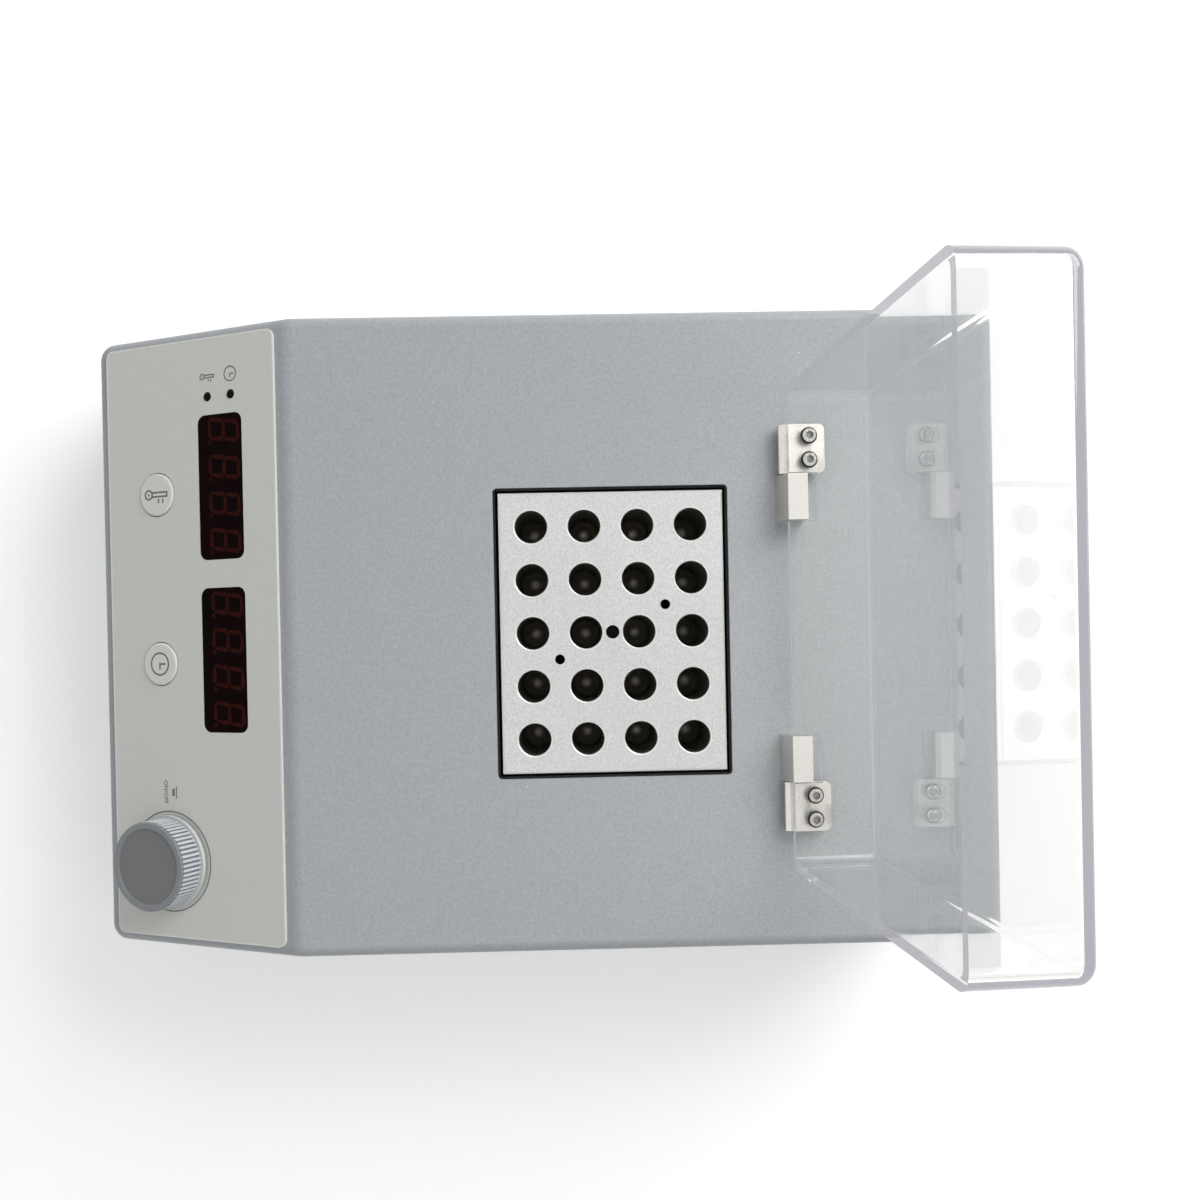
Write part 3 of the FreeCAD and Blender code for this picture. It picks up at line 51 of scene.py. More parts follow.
def linear(code):
    """Turns an sRGB hex colour into the linear values that shaders use."""
    parts = [int(code[i:i + 2], 16) / 255 for i in (1, 3, 5)]
    return [c / 12.92 if c <= 0.04045 else ((c + 0.055) / 1.055) ** 2.4 for c in parts] + [1]


def add(material, kind, inputs=None, **settings):
    """Adds a shader node; an input given as a socket is linked, and any other is set."""
    node = material.node_tree.nodes.new("ShaderNode" + kind)
    for name, value in settings.items():
        setattr(node, name, value)
    for name, value in (inputs or {}).items():
        if isinstance(value, bpy.types.NodeSocket):
            material.node_tree.links.new(value, node.inputs[name])
        else:
            node.inputs[name].default_value = value
    return node


def finish(name, dark, light, grain, rough, relief, metallic=0.0, smudge=0.05, specular=0.5):
    """A solid finish: two shades that mix grain by grain, gloss that varies with handling, and a
    fine relief. Grain and relief are in millimetres."""
    material = bpy.data.materials.new(name)
    material.use_nodes = True
    shader = material.node_tree.nodes["Principled BSDF"]
    place = add(material, "TexCoord").outputs["Object"]
    grains = add(material, "TexNoise", {"Vector": place, "Scale": 1 / (grain * MM), "Detail": 2.0})
    patches = add(material, "TexNoise", {"Vector": place, "Scale": 1 / (HANDLING * MM),
                                         "Detail": 5.0, "Roughness": 0.6})
    share = add(material, "MapRange", {"Value": grains.outputs["Fac"], "From Min": NOISE_LOW,
                                       "From Max": NOISE_HIGH})
    colour = add(material, "Mix", {0: share.outputs[0], 6: linear(dark), 7: linear(light)},
                 data_type="RGBA")
    gloss = add(material, "MapRange", {"Value": patches.outputs["Fac"], "From Min": NOISE_LOW,
                                       "From Max": NOISE_HIGH, "To Min": rough - smudge,
                                       "To Max": rough + smudge})
    bump = add(material, "Bump", {"Height": grains.outputs["Fac"], "Distance": relief * MM,
                                  "Strength": 1.0})
    links = material.node_tree.links
    links.new(colour.outputs[2], shader.inputs["Base Color"])
    links.new(gloss.outputs[0], shader.inputs["Roughness"])
    links.new(bump.outputs[0], shader.inputs["Normal"])
    shader.inputs["Metallic"].default_value = metallic
    shader.inputs["Specular IOR Level"].default_value = specular
    return material


def tint(material, mask, code):
    """Lays a second colour over a finish where the mask is 1."""
    target = material.node_tree.nodes["Principled BSDF"].inputs["Base Color"]
    below = target.links[0].from_socket
    colour = add(material, "Mix", {0: mask, 6: below, 7: linear(code)}, data_type="RGBA")
    material.node_tree.links.new(colour.outputs[2], target)


def specks(material, apart, size, code):
    """Scatters round specks over a finish, with their usual distance and radius in millimetres."""
    place = add(material, "TexCoord").outputs["Object"]
    cells = add(material, "TexVoronoi", {"Vector": place, "Scale": 1 / (apart * MM)})
    inside = add(material, "MapRange", {"Value": cells.outputs["Distance"],
                                        "From Min": SPECK_CORE * size / apart,
                                        "From Max": size / apart, "To Min": 1.0, "To Max": 0.0})
    tint(material, inside.outputs[0], code)


def dress(material, *nodes):
    """Gives CAD nodes their finish."""
    for name in nodes:
        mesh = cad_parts[name].data
        mesh.materials.clear()
        mesh.materials.append(material)


powder_coat = finish("powder_coated_steel", "#9B9FA3", "#A7ABAF", 1.1, 0.48, 0.035)
specks(powder_coat, 16, 0.3, "#D5D8DA")
dress(powder_coat, "top_cover", "rear_panel")

# Base tray: the same steel, powder coated a shade darker. The rubber feet under it are moulded in
# black rubber that grips the bench and shows dull, slightly dusty sides.
tray_coat = finish("tray_powder_coat", "#7C8083", "#8B8F92", 1.1, 0.55, 0.035)
dress(tray_coat, "base_tray")
foot_rubber = finish("moulded_rubber", "#1B1B1C", "#2A2A2B", 0.8, 0.8, 0.03)
specks(foot_rubber, 5, 0.3, "#5A5A58")
dress(foot_rubber, "rubber_feet")

# Case screws: pan heads in zinc plated steel, bright with a faint blue and grainy from the plating,
# with a punched cross recess whose faces are painted darker as shade. Four hold the cover to the
# tray, and one goes up through each foot.
zinc = finish("zinc_plated_steel", "#A9AEB4", "#C6CACF", 0.5, 0.32, 0.004, metallic=1.0)
# painted shade: the faces of each screw's recess take this darker steel
recess_shade_steel = finish("recess_painted_shade_steel", "#6E6C69", "#9C9A96", 0.5, 0.3, 0.01, metallic=1.0)
dress(zinc, "rear_panel_screws", "inlet_screws", "board_screws", "heater_screws",
      "bracket_screws", "power_screws", "hinge_base_screws")
HEAD_EDGE = 0.3  # width of the broken edge of a head, in millimetres
RECESS_SHARE = 0.85  # how much of a head's height its recess takes


def settle(bm, name, material, body, place=Matrix.Identity(4), second=None):
    """Turns a mesh built in millimetres into a piece in its place, which rides on a body. Faces
    with material index 1 take the second material. Vertices and faces are sorted by place, as
    the order in which the mesh operators leave them differs from run to run."""
    bmesh.ops.recalc_face_normals(bm, faces=bm.faces)
    bmesh.ops.transform(bm, matrix=place @ Matrix.Scale(MM, 4), verts=bm.verts)
    for items, spot in ((bm.verts, lambda vert: vert.co[:]),
                        (bm.faces, lambda face: face.calc_center_median()[:])):
        order = {item: rank for rank, item in enumerate(sorted(items, key=spot))}
        items.sort(key=order.get)
    mesh = bpy.data.meshes.new(name)
    bm.to_mesh(mesh)
    bm.free()
    mesh.materials.append(material)
    if second:
        mesh.materials.append(second)
    piece = bpy.data.objects.new(name, mesh)
    bpy.context.scene.collection.objects.link(piece)
    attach(piece, body)
    return piece


def stepped(bm, rim, radius, z):
    """Draws a round rim out to a new radius and height, and returns the new rim."""
    grown = bmesh.ops.extrude_edge_only(bm, edges=rim)["geom"]
    verts = [item for item in grown if isinstance(item, bmesh.types.BMVert)]
    for vert in verts:
        flat = Vector((vert.co.x, vert.co.y, 0)).normalized() * radius
        vert.co = (flat.x, flat.y, z)
    return [item for item in grown if isinstance(item, bmesh.types.BMEdge)
            and item.is_boundary and all(vert in verts for vert in item.verts)]


def screw(bm, place, recess, head, tall, shank, length):
    """Adds a screw: a head that stands up from z = 0 with a recess in it, and a shank below. The
    recess is a list of corners, its faces take the second material, and the place turns and moves
    the screw."""
    first = len(bm.verts)
    corners = [bm.verts.new((x, y, tall)) for x, y in recess]
    inner = [bm.edges.new((a, b)) for a, b in zip(corners, corners[1:] + corners[:1])]
    brim = bmesh.ops.create_circle(bm, segments=32, radius=head - HEAD_EDGE,
                                   matrix=Matrix.Translation((0, 0, tall)))["verts"]
    outer = list({edge for vert in brim for edge in vert.link_edges})
    bmesh.ops.bridge_loops(bm, edges=inner + outer)
    sunk = bmesh.ops.extrude_edge_only(bm, edges=inner)["geom"]
    sunk_verts = [item for item in sunk if isinstance(item, bmesh.types.BMVert)]
    bmesh.ops.translate(bm, vec=(0, 0, -RECESS_SHARE * tall), verts=sunk_verts)
    bottom = [item for item in sunk if isinstance(item, bmesh.types.BMEdge)
              and all(vert in sunk_verts for vert in item.verts)]
    floor = bmesh.ops.contextual_create(bm, geom=bottom)["faces"]
    for item in floor + sunk:
        if isinstance(item, bmesh.types.BMFace):
            item.material_index = 1
    rim = stepped(bm, outer, head, tall - HEAD_EDGE)
    rim = stepped(bm, rim, head, 0)
    rim = stepped(bm, rim, shank, 0)
    rim = stepped(bm, rim, shank, -length)
    bmesh.ops.contextual_create(bm, geom=rim)
    bm.verts.ensure_lookup_table()
    bmesh.ops.transform(bm, matrix=place, verts=bm.verts[first:])


ARM_REACH, ARM_HALF = 1.3, 0.28
QUARTER = [Vector((ARM_REACH, -ARM_HALF)), Vector((ARM_REACH, ARM_HALF)),
           Vector((ARM_HALF, ARM_HALF))]
CROSS = [Matrix.Rotation(math.radians(90 * turn), 2) @ corner
         for turn in range(4) for corner in QUARTER]
DOWN = Matrix.Rotation(math.radians(180), 4, "X")
TRAY_SPOTS = [(x, y) for x in (-101, 101) for y in (-98.5, 98.5)]
FOOT_SPOTS = [(x, y) for x in (-91.5, 91.5) for y in (-138.5, 138.5)]
for name, node, spots, seat in (("tray_screws", "cover_screws", TRAY_SPOTS, 8),
                                ("feet_screws", "foot_screws", FOOT_SPOTS, 4)):
    screws = bmesh.new()
    for x, y in spots:
        screw(screws, Matrix.Translation((x, y, seat)) @ DOWN, CROSS, head=2.75, tall=1.8,
              shank=1.5, length=8)
    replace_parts(settle(screws, name, zinc, "casing", second=recess_shade_steel),
                node)

# Front overlay: a satin polyester film, printed from behind in a warm light grey, glued on the
# slope. Its cut edge shows white, and a ring for the knob is printed in a darker grey.
# SLOPE turns and moves a flat piece onto the slope, whose upper fold is at y -83, z 90.
PANEL_TILT = math.radians(24)
SLOPE = Matrix.Translation((0, -83 * MM, 90 * MM)) @ Matrix.Rotation(PANEL_TILT, 4, "X")
overlay_film = finish("printed_polyester_film", "#D2D3CE", "#D7D8D3", 0.9, 0.4, 0.004)
specks(overlay_film, 21, 0.3, "#8E8F8A")
dress(overlay_film, "front_overlay")
cut_film = finish("cut_polyester_edge", "#E2E3DE", "#EDEEEA", 0.5, 0.35, 0.002)
grey_ink = finish("screen_printed_ink", "#626562", "#6D706D", 0.4, 0.45, 0.002)
FILM_WIDE, FILM_DEEP, FILM_TOP, FILM_CORNER = 210, 74, 0.8, 3
FILM_MIDDLE = -41.4
CUT_EDGE = 0.5  # width of the white edge
INK = 0.02  # thickness of a print, drawn as thick as it needs to show
KNOB_X, KNOB_Y = 78, -53.5


def band(bm, disc, width, thick):
    """Turns a flat face into a raised band that follows its edge."""
    inset = bmesh.ops.inset_region(bm, faces=disc, thickness=width, use_boundary=True,
                                   use_even_offset=True)
    bmesh.ops.delete(bm, geom=disc, context="FACES")
    top = bmesh.ops.extrude_face_region(bm, geom=inset["faces"])
    lifted = [item for item in top["geom"] if isinstance(item, bmesh.types.BMVert)]
    bmesh.ops.translate(bm, vec=(0, 0, thick), verts=lifted)


def ring(bm, x, y, z, inner, outer, thick, segments=72):
    """Adds a flat ring with its underside at z."""
    made = bmesh.ops.create_circle(bm, segments=segments, radius=outer, cap_ends=True,
                                   matrix=Matrix.Translation((x, y, z)))
    band(bm, list({face for vert in made["verts"] for face in vert.link_faces}), outer - inner,
         thick)


def bar(bm, x, y, z, length, width, thick, turn=0.0, pointed=False):
    """Adds a flat bar, with pointed ends if asked, with its underside at z."""
    place = Matrix.Translation((x, y, z)) @ Matrix.Rotation(math.radians(turn), 4, "Z")
    if pointed:
        made = bmesh.ops.create_circle(bm, segments=6, radius=width / math.sqrt(3), cap_ends=True)
        reach = length / 2 - width / math.sqrt(3)
        for vert in made["verts"]:
            vert.co.x += math.copysign(reach, vert.co.x)
    else:
        made = bmesh.ops.create_grid(bm, x_segments=1, y_segments=1, size=0.5)
        bmesh.ops.scale(bm, vec=(length, width, 1), verts=made["verts"])
    faces = list({face for vert in made["verts"] for face in vert.link_faces})
    top = bmesh.ops.extrude_face_region(bm, geom=faces)
    lifted = [item for item in top["geom"] if isinstance(item, bmesh.types.BMVert)]
    bmesh.ops.translate(bm, vec=(0, 0, thick), verts=lifted)
    bmesh.ops.transform(bm, matrix=place, verts=made["verts"] + lifted)


film_edge = bmesh.new()
outline = bmesh.ops.create_grid(film_edge, x_segments=1, y_segments=1, size=0.5)["verts"]
bmesh.ops.scale(film_edge, vec=(FILM_WIDE, FILM_DEEP, 1), verts=outline)
bmesh.ops.bevel(film_edge, geom=outline, offset=FILM_CORNER, segments=8, profile=0.5,
                material=-1, affect="VERTICES")
bmesh.ops.translate(film_edge, vec=(0, FILM_MIDDLE, FILM_TOP), verts=film_edge.verts)
band(film_edge, film_edge.faces[:], CUT_EDGE, INK)
settle(film_edge, "film_cut_edge", cut_film, "casing", SLOPE)
knob_ring = bmesh.new()
ring(knob_ring, KNOB_X, KNOB_Y, FILM_TOP, inner=17.5, outer=17.95, thick=INK)
settle(knob_ring, "printed_knob_ring", grey_ink, "casing", SLOPE)

# Signs: a thermometer and a clock face stand for heating and timing, on the buttons and beside
# the lamps, and a push sign with ON and OFF stands by the knob. All are printed in the same grey.
FINE_LINE, BOLD_LINE = 0.45, 0.65
LAMP_SIGN_X, PUSH_SIGN_X = -91.5, 53.5


def thermometer(bm, x, y, z, size, line):
    """A bulb with a stem and two scale marks, size millimetres tall, drawn with a line. Its places
    and lengths are shares of its size."""
    bulb, bulb_y = size * 0.18, y - size * 0.32
    ring(bm, x, bulb_y, z, bulb - line, bulb, INK, 32)
    bar(bm, x, bulb_y, z, line * 1.2, line * 1.2, INK)
    bar(bm, x - size * 0.07, y + size * 0.14, z, size * 0.62, line, INK, 90)
    bar(bm, x + size * 0.07, y + size * 0.14, z, size * 0.62, line, INK, 90)
    bar(bm, x, y + size * 0.46, z, size * 0.14 + line, line, INK)
    for step in (0.1, 0.28):
        bar(bm, x + size * 0.22, y + size * step, z, size * 0.14, line, INK)


def clock(bm, x, y, z, size, line):
    """A round dial with two hands, size millimetres across, drawn with a line. Its places and
    lengths are shares of its size."""
    ring(bm, x, y, z, size * 0.5 - line, size * 0.5, INK, 48)
    bar(bm, x, y + size * 0.15, z, size * 0.3, line, INK, 90)
    bar(bm, x + size * 0.1, y, z, size * 0.2 + line, line, INK)


signs = bmesh.new()
thermometer(signs, LAMP_SIGN_X, -32.7, FILM_TOP, size=6.4, line=FINE_LINE)
clock(signs, LAMP_SIGN_X, -22.7, FILM_TOP, size=5.4, line=FINE_LINE)
bar(signs, PUSH_SIGN_X, -50.4, FILM_TOP, length=4.4, width=FINE_LINE, thick=INK)
bar(signs, PUSH_SIGN_X, -51.7, FILM_TOP, length=2.6, width=1.1, thick=INK)
settle(signs, "printed_signs", grey_ink, "casing", SLOPE)

words = bpy.data.curves.new("switch_words", "FONT")
words.body = "ON/OFF"
words.size = 2.3
words.offset = 0.04  # makes the letters as bold as the signs
words.align_x = "CENTER"
words.extrude = INK / 2
lettering = bpy.data.objects.new("switch_words", words)
bpy.context.scene.collection.objects.link(lettering)
bpy.context.view_layer.update()
letters = bmesh.new()
letters.from_mesh(bpy.data.meshes.new_from_object(lettering))
bpy.data.objects.remove(lettering)
bmesh.ops.translate(letters, vec=(PUSH_SIGN_X, -55.8, FILM_TOP + INK / 2), verts=letters.verts)
settle(letters, "printed_on_off", grey_ink, "casing", SLOPE)

# Buttons: short-travel caps moulded in the overlay's shade, each in a round gap that shows as a
# dark line, with its sign printed on top.
button_plastic = finish("moulded_abs_button", "#D9DAD6", "#DFE0DC", 0.7, 0.4, 0.006)
dress(button_plastic, "heat_button", "timer_button")
BUTTON_TOP, BUTTON_Y = 1.4, -56
heat_sign = bmesh.new()
thermometer(heat_sign, -52, BUTTON_Y, BUTTON_TOP, size=10.5, line=BOLD_LINE)
settle(heat_sign, "heat_button_sign", grey_ink, "heat_key", SLOPE)
timer_sign = bmesh.new()
clock(timer_sign, 8, BUTTON_Y, BUTTON_TOP, size=8.4, line=BOLD_LINE)
settle(timer_sign, "timer_button_sign", grey_ink, "timer_key", SLOPE)

# Display windows: dark red tinted acrylic filters with a reflection-cutting coat, let in flush
# with the film. The unlit segments of the four figures behind each show as a dim brown red.
filter_acrylic = finish("tinted_acrylic_filter", "#0D0303", "#130505", 3.0, 0.14, 0.001,
                        smudge=0.03, specular=0.02)
specks(filter_acrylic, 9, 0.2, "#4A3A38")
dress(filter_acrylic, "heat_window", "timer_window")
unlit = finish("unlit_segments", "#2C0F0B", "#3A1510", 1.6, 0.2, 0.001, smudge=0.03,
               specular=0.02)
FIGURE_PITCH, FIGURE_TALL, FIGURE_WIDE = 12.7, 13.6, 7.9
STROKE, SEGMENT_GAP = 1.5, 0.3
POINT_STEP, POINT_HOLE = 1.6, 0.02  # place of a point past its figure; a hole too small to see
WINDOW_Y = -26.0
LEAN = math.tan(math.radians(8))


def figures(name, middle):
    """Four seven-segment figures with their points, centred on a window at that x."""
    bm = bmesh.new()
    half = (FIGURE_TALL - STROKE) / 2
    side = (FIGURE_WIDE - STROKE) / 2
    for place in (-1.5, -0.5, 0.5, 1.5):
        x = place * FIGURE_PITCH
        for row in (-1, 0, 1):
            bar(bm, x, row * half, 0, FIGURE_WIDE - STROKE - SEGMENT_GAP, STROKE, INK,
                pointed=True)
        for row in (-0.5, 0.5):
            for edge in (-side, side):
                bar(bm, x + edge, row * half, 0, half - SEGMENT_GAP, STROKE, INK, 90, True)
        ring(bm, x + side + POINT_STEP, -half, 0, POINT_HOLE, STROKE / 2, INK, 16)
    lean = Matrix.Identity(4)
    lean[0][1] = LEAN
    bmesh.ops.transform(bm, matrix=Matrix.Translation((middle, WINDOW_Y, FILM_TOP)) @ lean,
                        verts=bm.verts)
    settle(bm, name, unlit, "casing", SLOPE)


figures("heat_figures", middle=-53.4)
figures("timer_figures", middle=6.6)

# Lamps: lens caps moulded in smoked plastic over the two status lamps, black while unlit, each
# let into a round hole of the overlay.
lamp_lens = finish("smoked_lens_plastic", "#0B0A0A", "#141212", 1.5, 0.2, 0.002, specular=0.04)
dress(lamp_lens, "heat_lamp", "timer_lamp")

# Knob: moulded in light grey ABS with a fine matt spark texture. Grip ribs run round its side over
# a paler plain foot, and a dark disc is let into its face. Its side is drawn lighter than its face
# as painted light, and its grooves are painted darker as shade.
RIBS = 60
GROOVE_HALF = 0.2  # half the width of a groove, as a share of the ribs' pitch
KNOB_FOOT, KNOB_FACE, DISC_RADIUS = 3.45, 11.5, 13.2
# painted light: the side's colours are drawn lighter than the face, as a lamp from the side lights
# it
knob_abs = finish("spark_textured_abs", "#B7BCC0", "#C4C9CD", 0.45, 0.5, 0.012)
knob_place = add(knob_abs, "Mapping", {
    "Vector": add(knob_abs, "TexCoord").outputs["Object"],
    "Location": SLOPE @ Vector((KNOB_X * MM, KNOB_Y * MM, 0)),
    "Rotation": (PANEL_TILT, 0, 0)}, vector_type="TEXTURE")
knob_up = add(knob_abs, "SeparateXYZ", {0: knob_place.outputs[0]}).outputs["Z"]
knob_flat = add(knob_abs, "VectorMath", {0: knob_place.outputs[0], 1: (1, 1, 0)},
                operation="MULTIPLY")
knob_out = add(knob_abs, "VectorMath", {0: knob_flat.outputs[0]}, operation="LENGTH")
turned = add(knob_abs, "SeparateXYZ", {0: knob_flat.outputs[0]})
bearing = add(knob_abs, "Math", {0: turned.outputs["Y"], 1: turned.outputs["X"]},
              operation="ARCTAN2")
ribs = add(knob_abs, "Math", {0: bearing.outputs[0], 1: RIBS / math.tau}, operation="MULTIPLY")
off_groove = add(knob_abs, "Math", {0: ribs.outputs[0], 1: 0.5}, operation="PINGPONG")
painted_groove_shade = add(knob_abs, "Math", {0: off_groove.outputs[0], 1: GROOVE_HALF},
              operation="LESS_THAN")
# painted shade in the grooves between the ribs
tint(knob_abs, painted_groove_shade.outputs[0], "#73797D")
near_axis = add(knob_abs, "Math", {0: knob_out.outputs["Value"], 1: DISC_RADIUS * MM},
                operation="LESS_THAN")
on_face = add(knob_abs, "Math", {0: knob_up, 1: KNOB_FACE * MM}, operation="GREATER_THAN")
face_disc = add(knob_abs, "Math", {0: near_axis.outputs[0], 1: on_face.outputs[0]},
                operation="MULTIPLY")
# the face is drawn darker than the side, whose lighter colour is painted light
tint(knob_abs, on_face.outputs[0], "#84878A")
tint(knob_abs, face_disc.outputs[0], "#717374")
foot_ring = add(knob_abs, "Math", {0: knob_up, 1: KNOB_FOOT * MM}, operation="LESS_THAN")
tint(knob_abs, foot_ring.outputs[0], "#C6C9C8")
dress(knob_abs, "knob")

# Tube block: machined aluminium, bead blasted and clear anodised, with a fine sparkle. Its cut
# chamfers and well mouths are drawn near white as painted highlights. The wells are painted a
# darker grey inside, and the lifting thread and the probe holes dark, as painted shade where little
# light comes back out of them.
BLOCK_Y = 25.5
WELL_PITCH, WELL_RADIUS, MOUTH_RADIUS = 18, 5.53, 5.95
SMALL_HOLES = ((0, 0, 2.28), (9, -18, 1.68), (-9, 18, 1.68))  # x, y and radius
UNDER_WELLS = 45  # the wells and holes end above this height
CHAMFER_X, CHAMFER_Y, CHAMFER_Z = 46.95, 37.45, 89.65
anodised = finish("bead_blasted_aluminium", "#B6B7B7", "#D2D3D2", 0.45, 0.42, 0.012, metallic=0.9)
block_place = add(anodised, "Mapping", {
    "Vector": add(anodised, "TexCoord").outputs["Object"],
    "Location": (0, BLOCK_Y * MM, 0)}, vector_type="TEXTURE")
block_flat = add(anodised, "VectorMath", {0: block_place.outputs[0], 1: (1, 1, 0)},
                 operation="MULTIPLY")
cells = add(anodised, "VectorMath", {0: block_flat.outputs[0],
                                     1: (1 / (WELL_PITCH * MM), 1 / (WELL_PITCH * MM), 0),
                                     2: (0.5, 0, 0)}, operation="MULTIPLY_ADD")
cell = add(anodised, "VectorMath", {0: cells.outputs[0]}, operation="FRACTION")
off_axis = add(anodised, "VectorMath", {0: cell.outputs[0], 1: (0.5, 0.5, 0)},
               operation="DISTANCE")
wells = add(anodised, "Math", {0: off_axis.outputs["Value"], 1: WELL_RADIUS / WELL_PITCH},
            operation="LESS_THAN")
block_up = add(anodised, "SeparateXYZ", {0: block_place.outputs[0]}).outputs["Z"]
off_floor = add(anodised, "Math", {0: block_up, 1: UNDER_WELLS * MM},
                operation="GREATER_THAN")
painted_mouth_highlight = add(anodised, "Math", {0: off_axis.outputs["Value"], 1: MOUTH_RADIUS / WELL_PITCH},
             operation="LESS_THAN")
# painted highlight on the well mouths
tint(anodised, painted_mouth_highlight.outputs[0], "#F6F6F4")
reach = add(anodised, "VectorMath", {0: block_flat.outputs[0]}, operation="ABSOLUTE")
sides = add(anodised, "SeparateXYZ", {0: reach.outputs[0]})
past_x = add(anodised, "Math", {0: sides.outputs["X"], 1: CHAMFER_X * MM},
             operation="GREATER_THAN")
past_y = add(anodised, "Math", {0: sides.outputs["Y"], 1: CHAMFER_Y * MM},
             operation="GREATER_THAN")
rim = add(anodised, "Math", {0: past_x.outputs[0], 1: past_y.outputs[0]}, operation="MAXIMUM")
upper = add(anodised, "Math", {0: block_up, 1: CHAMFER_Z * MM}, operation="GREATER_THAN")
painted_chamfer_highlight = add(anodised, "Math", {0: rim.outputs[0], 1: upper.outputs[0]}, operation="MULTIPLY")
# painted highlight on the chamfers round the block's top
tint(anodised, painted_chamfer_highlight.outputs[0], "#F6F6F4")
painted_well_shade = add(anodised, "Math", {0: wells.outputs[0], 1: off_floor.outputs[0]},
              operation="MULTIPLY")
# painted shade inside the wells
tint(anodised, painted_well_shade.outputs[0], "#97938A")
for x, y, radius in SMALL_HOLES:
    away = add(anodised, "VectorMath", {0: block_flat.outputs[0], 1: (x * MM, y * MM, 0)},
               operation="DISTANCE")
    hole = add(anodised, "Math", {0: away.outputs["Value"], 1: radius * MM},
               operation="LESS_THAN")
    painted_hole_shade = add(anodised, "Math", {0: hole.outputs[0], 1: off_floor.outputs[0]},
                  operation="MULTIPLY")
    # painted shade in the lifting thread and the probe holes
    tint(anodised, painted_hole_shade.outputs[0], "#2A2926")
dress(anodised, "tube_block")

# Block liner and the other sheet metal inside: plain mill aluminium. The liner round the block is
# drawn near black as painted shade in the gap round the block, and the rest is bright.
# painted shade: the liner is drawn near black for the shade in the gap round the block
liner_shade_aluminium = finish("liner_painted_shade", "#1C1C1D", "#28282A", 2.0, 0.5, 0.005,
                        metallic=0.6)
dress(liner_shade_aluminium, "block_liner")
plain_aluminium = finish("plain_aluminium", "#9C9EA0", "#B4B6B8", 1.6, 0.4, 0.005, metallic=1.0)
dress(plain_aluminium, "heater_plate", "heater_bracket", "heat_sink")

# Hinges: cast, bead blasted and nickel plated, warm and bright with a fine grain and softly broken
# edges. Each base is screwed up from inside the cover, and each leaf turns on a plated pin.
WELD, FLAT, SHARP = 0.001, math.radians(1), math.radians(25)
CAST_EDGE = 0.25  # how far the edges of a casting are broken, in millimetres
nickel = finish("nickel_plated_casting", "#CFCCC5", "#ECEAE4", 0.35, 0.34, 0.006, metallic=1.0)
for node, body in (("hinge_base_left", "casing"), ("hinge_base_right", "casing"),
                   ("hinge_leaf_left", "lid"), ("hinge_leaf_right", "lid")):
    cast = bmesh.new()
    cast.from_mesh(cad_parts[node].data)
    bmesh.ops.scale(cast, vec=(1 / MM, 1 / MM, 1 / MM), verts=cast.verts)
    bmesh.ops.remove_doubles(cast, verts=cast.verts, dist=WELD)
    bmesh.ops.dissolve_limit(cast, angle_limit=FLAT, verts=cast.verts, edges=cast.edges)
    sharp = [edge for edge in cast.edges if len(edge.link_faces) == 2
             and edge.calc_face_angle() > SHARP]
    bmesh.ops.bevel(cast, geom=sharp, offset=CAST_EDGE, segments=2, profile=0.5, material=-1,
                    affect="EDGES", clamp_overlap=True)
    bmesh.ops.triangulate(cast, faces=cast.faces)
    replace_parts(settle(cast, node + "_cast", nickel, body), node)
dress(nickel, "hinge_pins")

# Lid: a clear acrylic box, moulded in one with 3 mm walls. It bends what is seen through it, and
# its edges are painted with a pale lavender grey glow, as painted light, where light runs a long
# way inside the walls. Rubbing has left a little haze, and the moulding faint flow marks, about 11
# mm wide and 70 mm long.
ACRYLIC_IOR = 1.49
FLOW_SCALE = (90, 90, 14)
INSIDE_WALL = 2.5  # a ray that was mirrored more often than this runs inside a wall
clear_acrylic = bpy.data.materials.new("moulded_clear_acrylic")
clear_acrylic.use_nodes = True
glass = clear_acrylic.node_tree.nodes["Principled BSDF"]
acrylic_place = add(clear_acrylic, "TexCoord").outputs["Object"]
rub_marks = add(clear_acrylic, "TexNoise", {"Vector": acrylic_place, "Scale": 60.0, "Detail": 5.0})
haze = add(clear_acrylic, "MapRange", {"Value": rub_marks.outputs["Fac"], "From Min": 0.45,
                                       "From Max": 0.75, "To Min": 0.0, "To Max": 0.04})
clear_acrylic.node_tree.links.new(haze.outputs[0], glass.inputs["Roughness"])
flow = add(clear_acrylic, "Mapping", {"Vector": acrylic_place, "Scale": FLOW_SCALE})
flow_marks = add(clear_acrylic, "TexNoise", {"Vector": flow.outputs[0], "Scale": 1.0,
                                             "Detail": 1.0})
ripple = add(clear_acrylic, "Bump", {"Height": flow_marks.outputs["Fac"], "Distance": 0.01 * MM,
                                     "Strength": 1.0})
clear_acrylic.node_tree.links.new(ripple.outputs[0], glass.inputs["Normal"])
glass.inputs["Base Color"].default_value = linear("#FBFBFA")
glass.inputs["IOR"].default_value = ACRYLIC_IOR
glass.inputs["Transmission Weight"].default_value = 1.0
path = add(clear_acrylic, "LightPath")
passed = add(clear_acrylic, "BsdfTransparent", {"Color": linear("#F6F6F5")})
either = add(clear_acrylic, "MixShader", {0: path.outputs["Is Shadow Ray"],
                                          1: glass.outputs[0], 2: passed.outputs[0]})
long_way = add(clear_acrylic, "Math", {0: path.outputs["Glossy Depth"], 1: INSIDE_WALL},
               operation="GREATER_THAN")
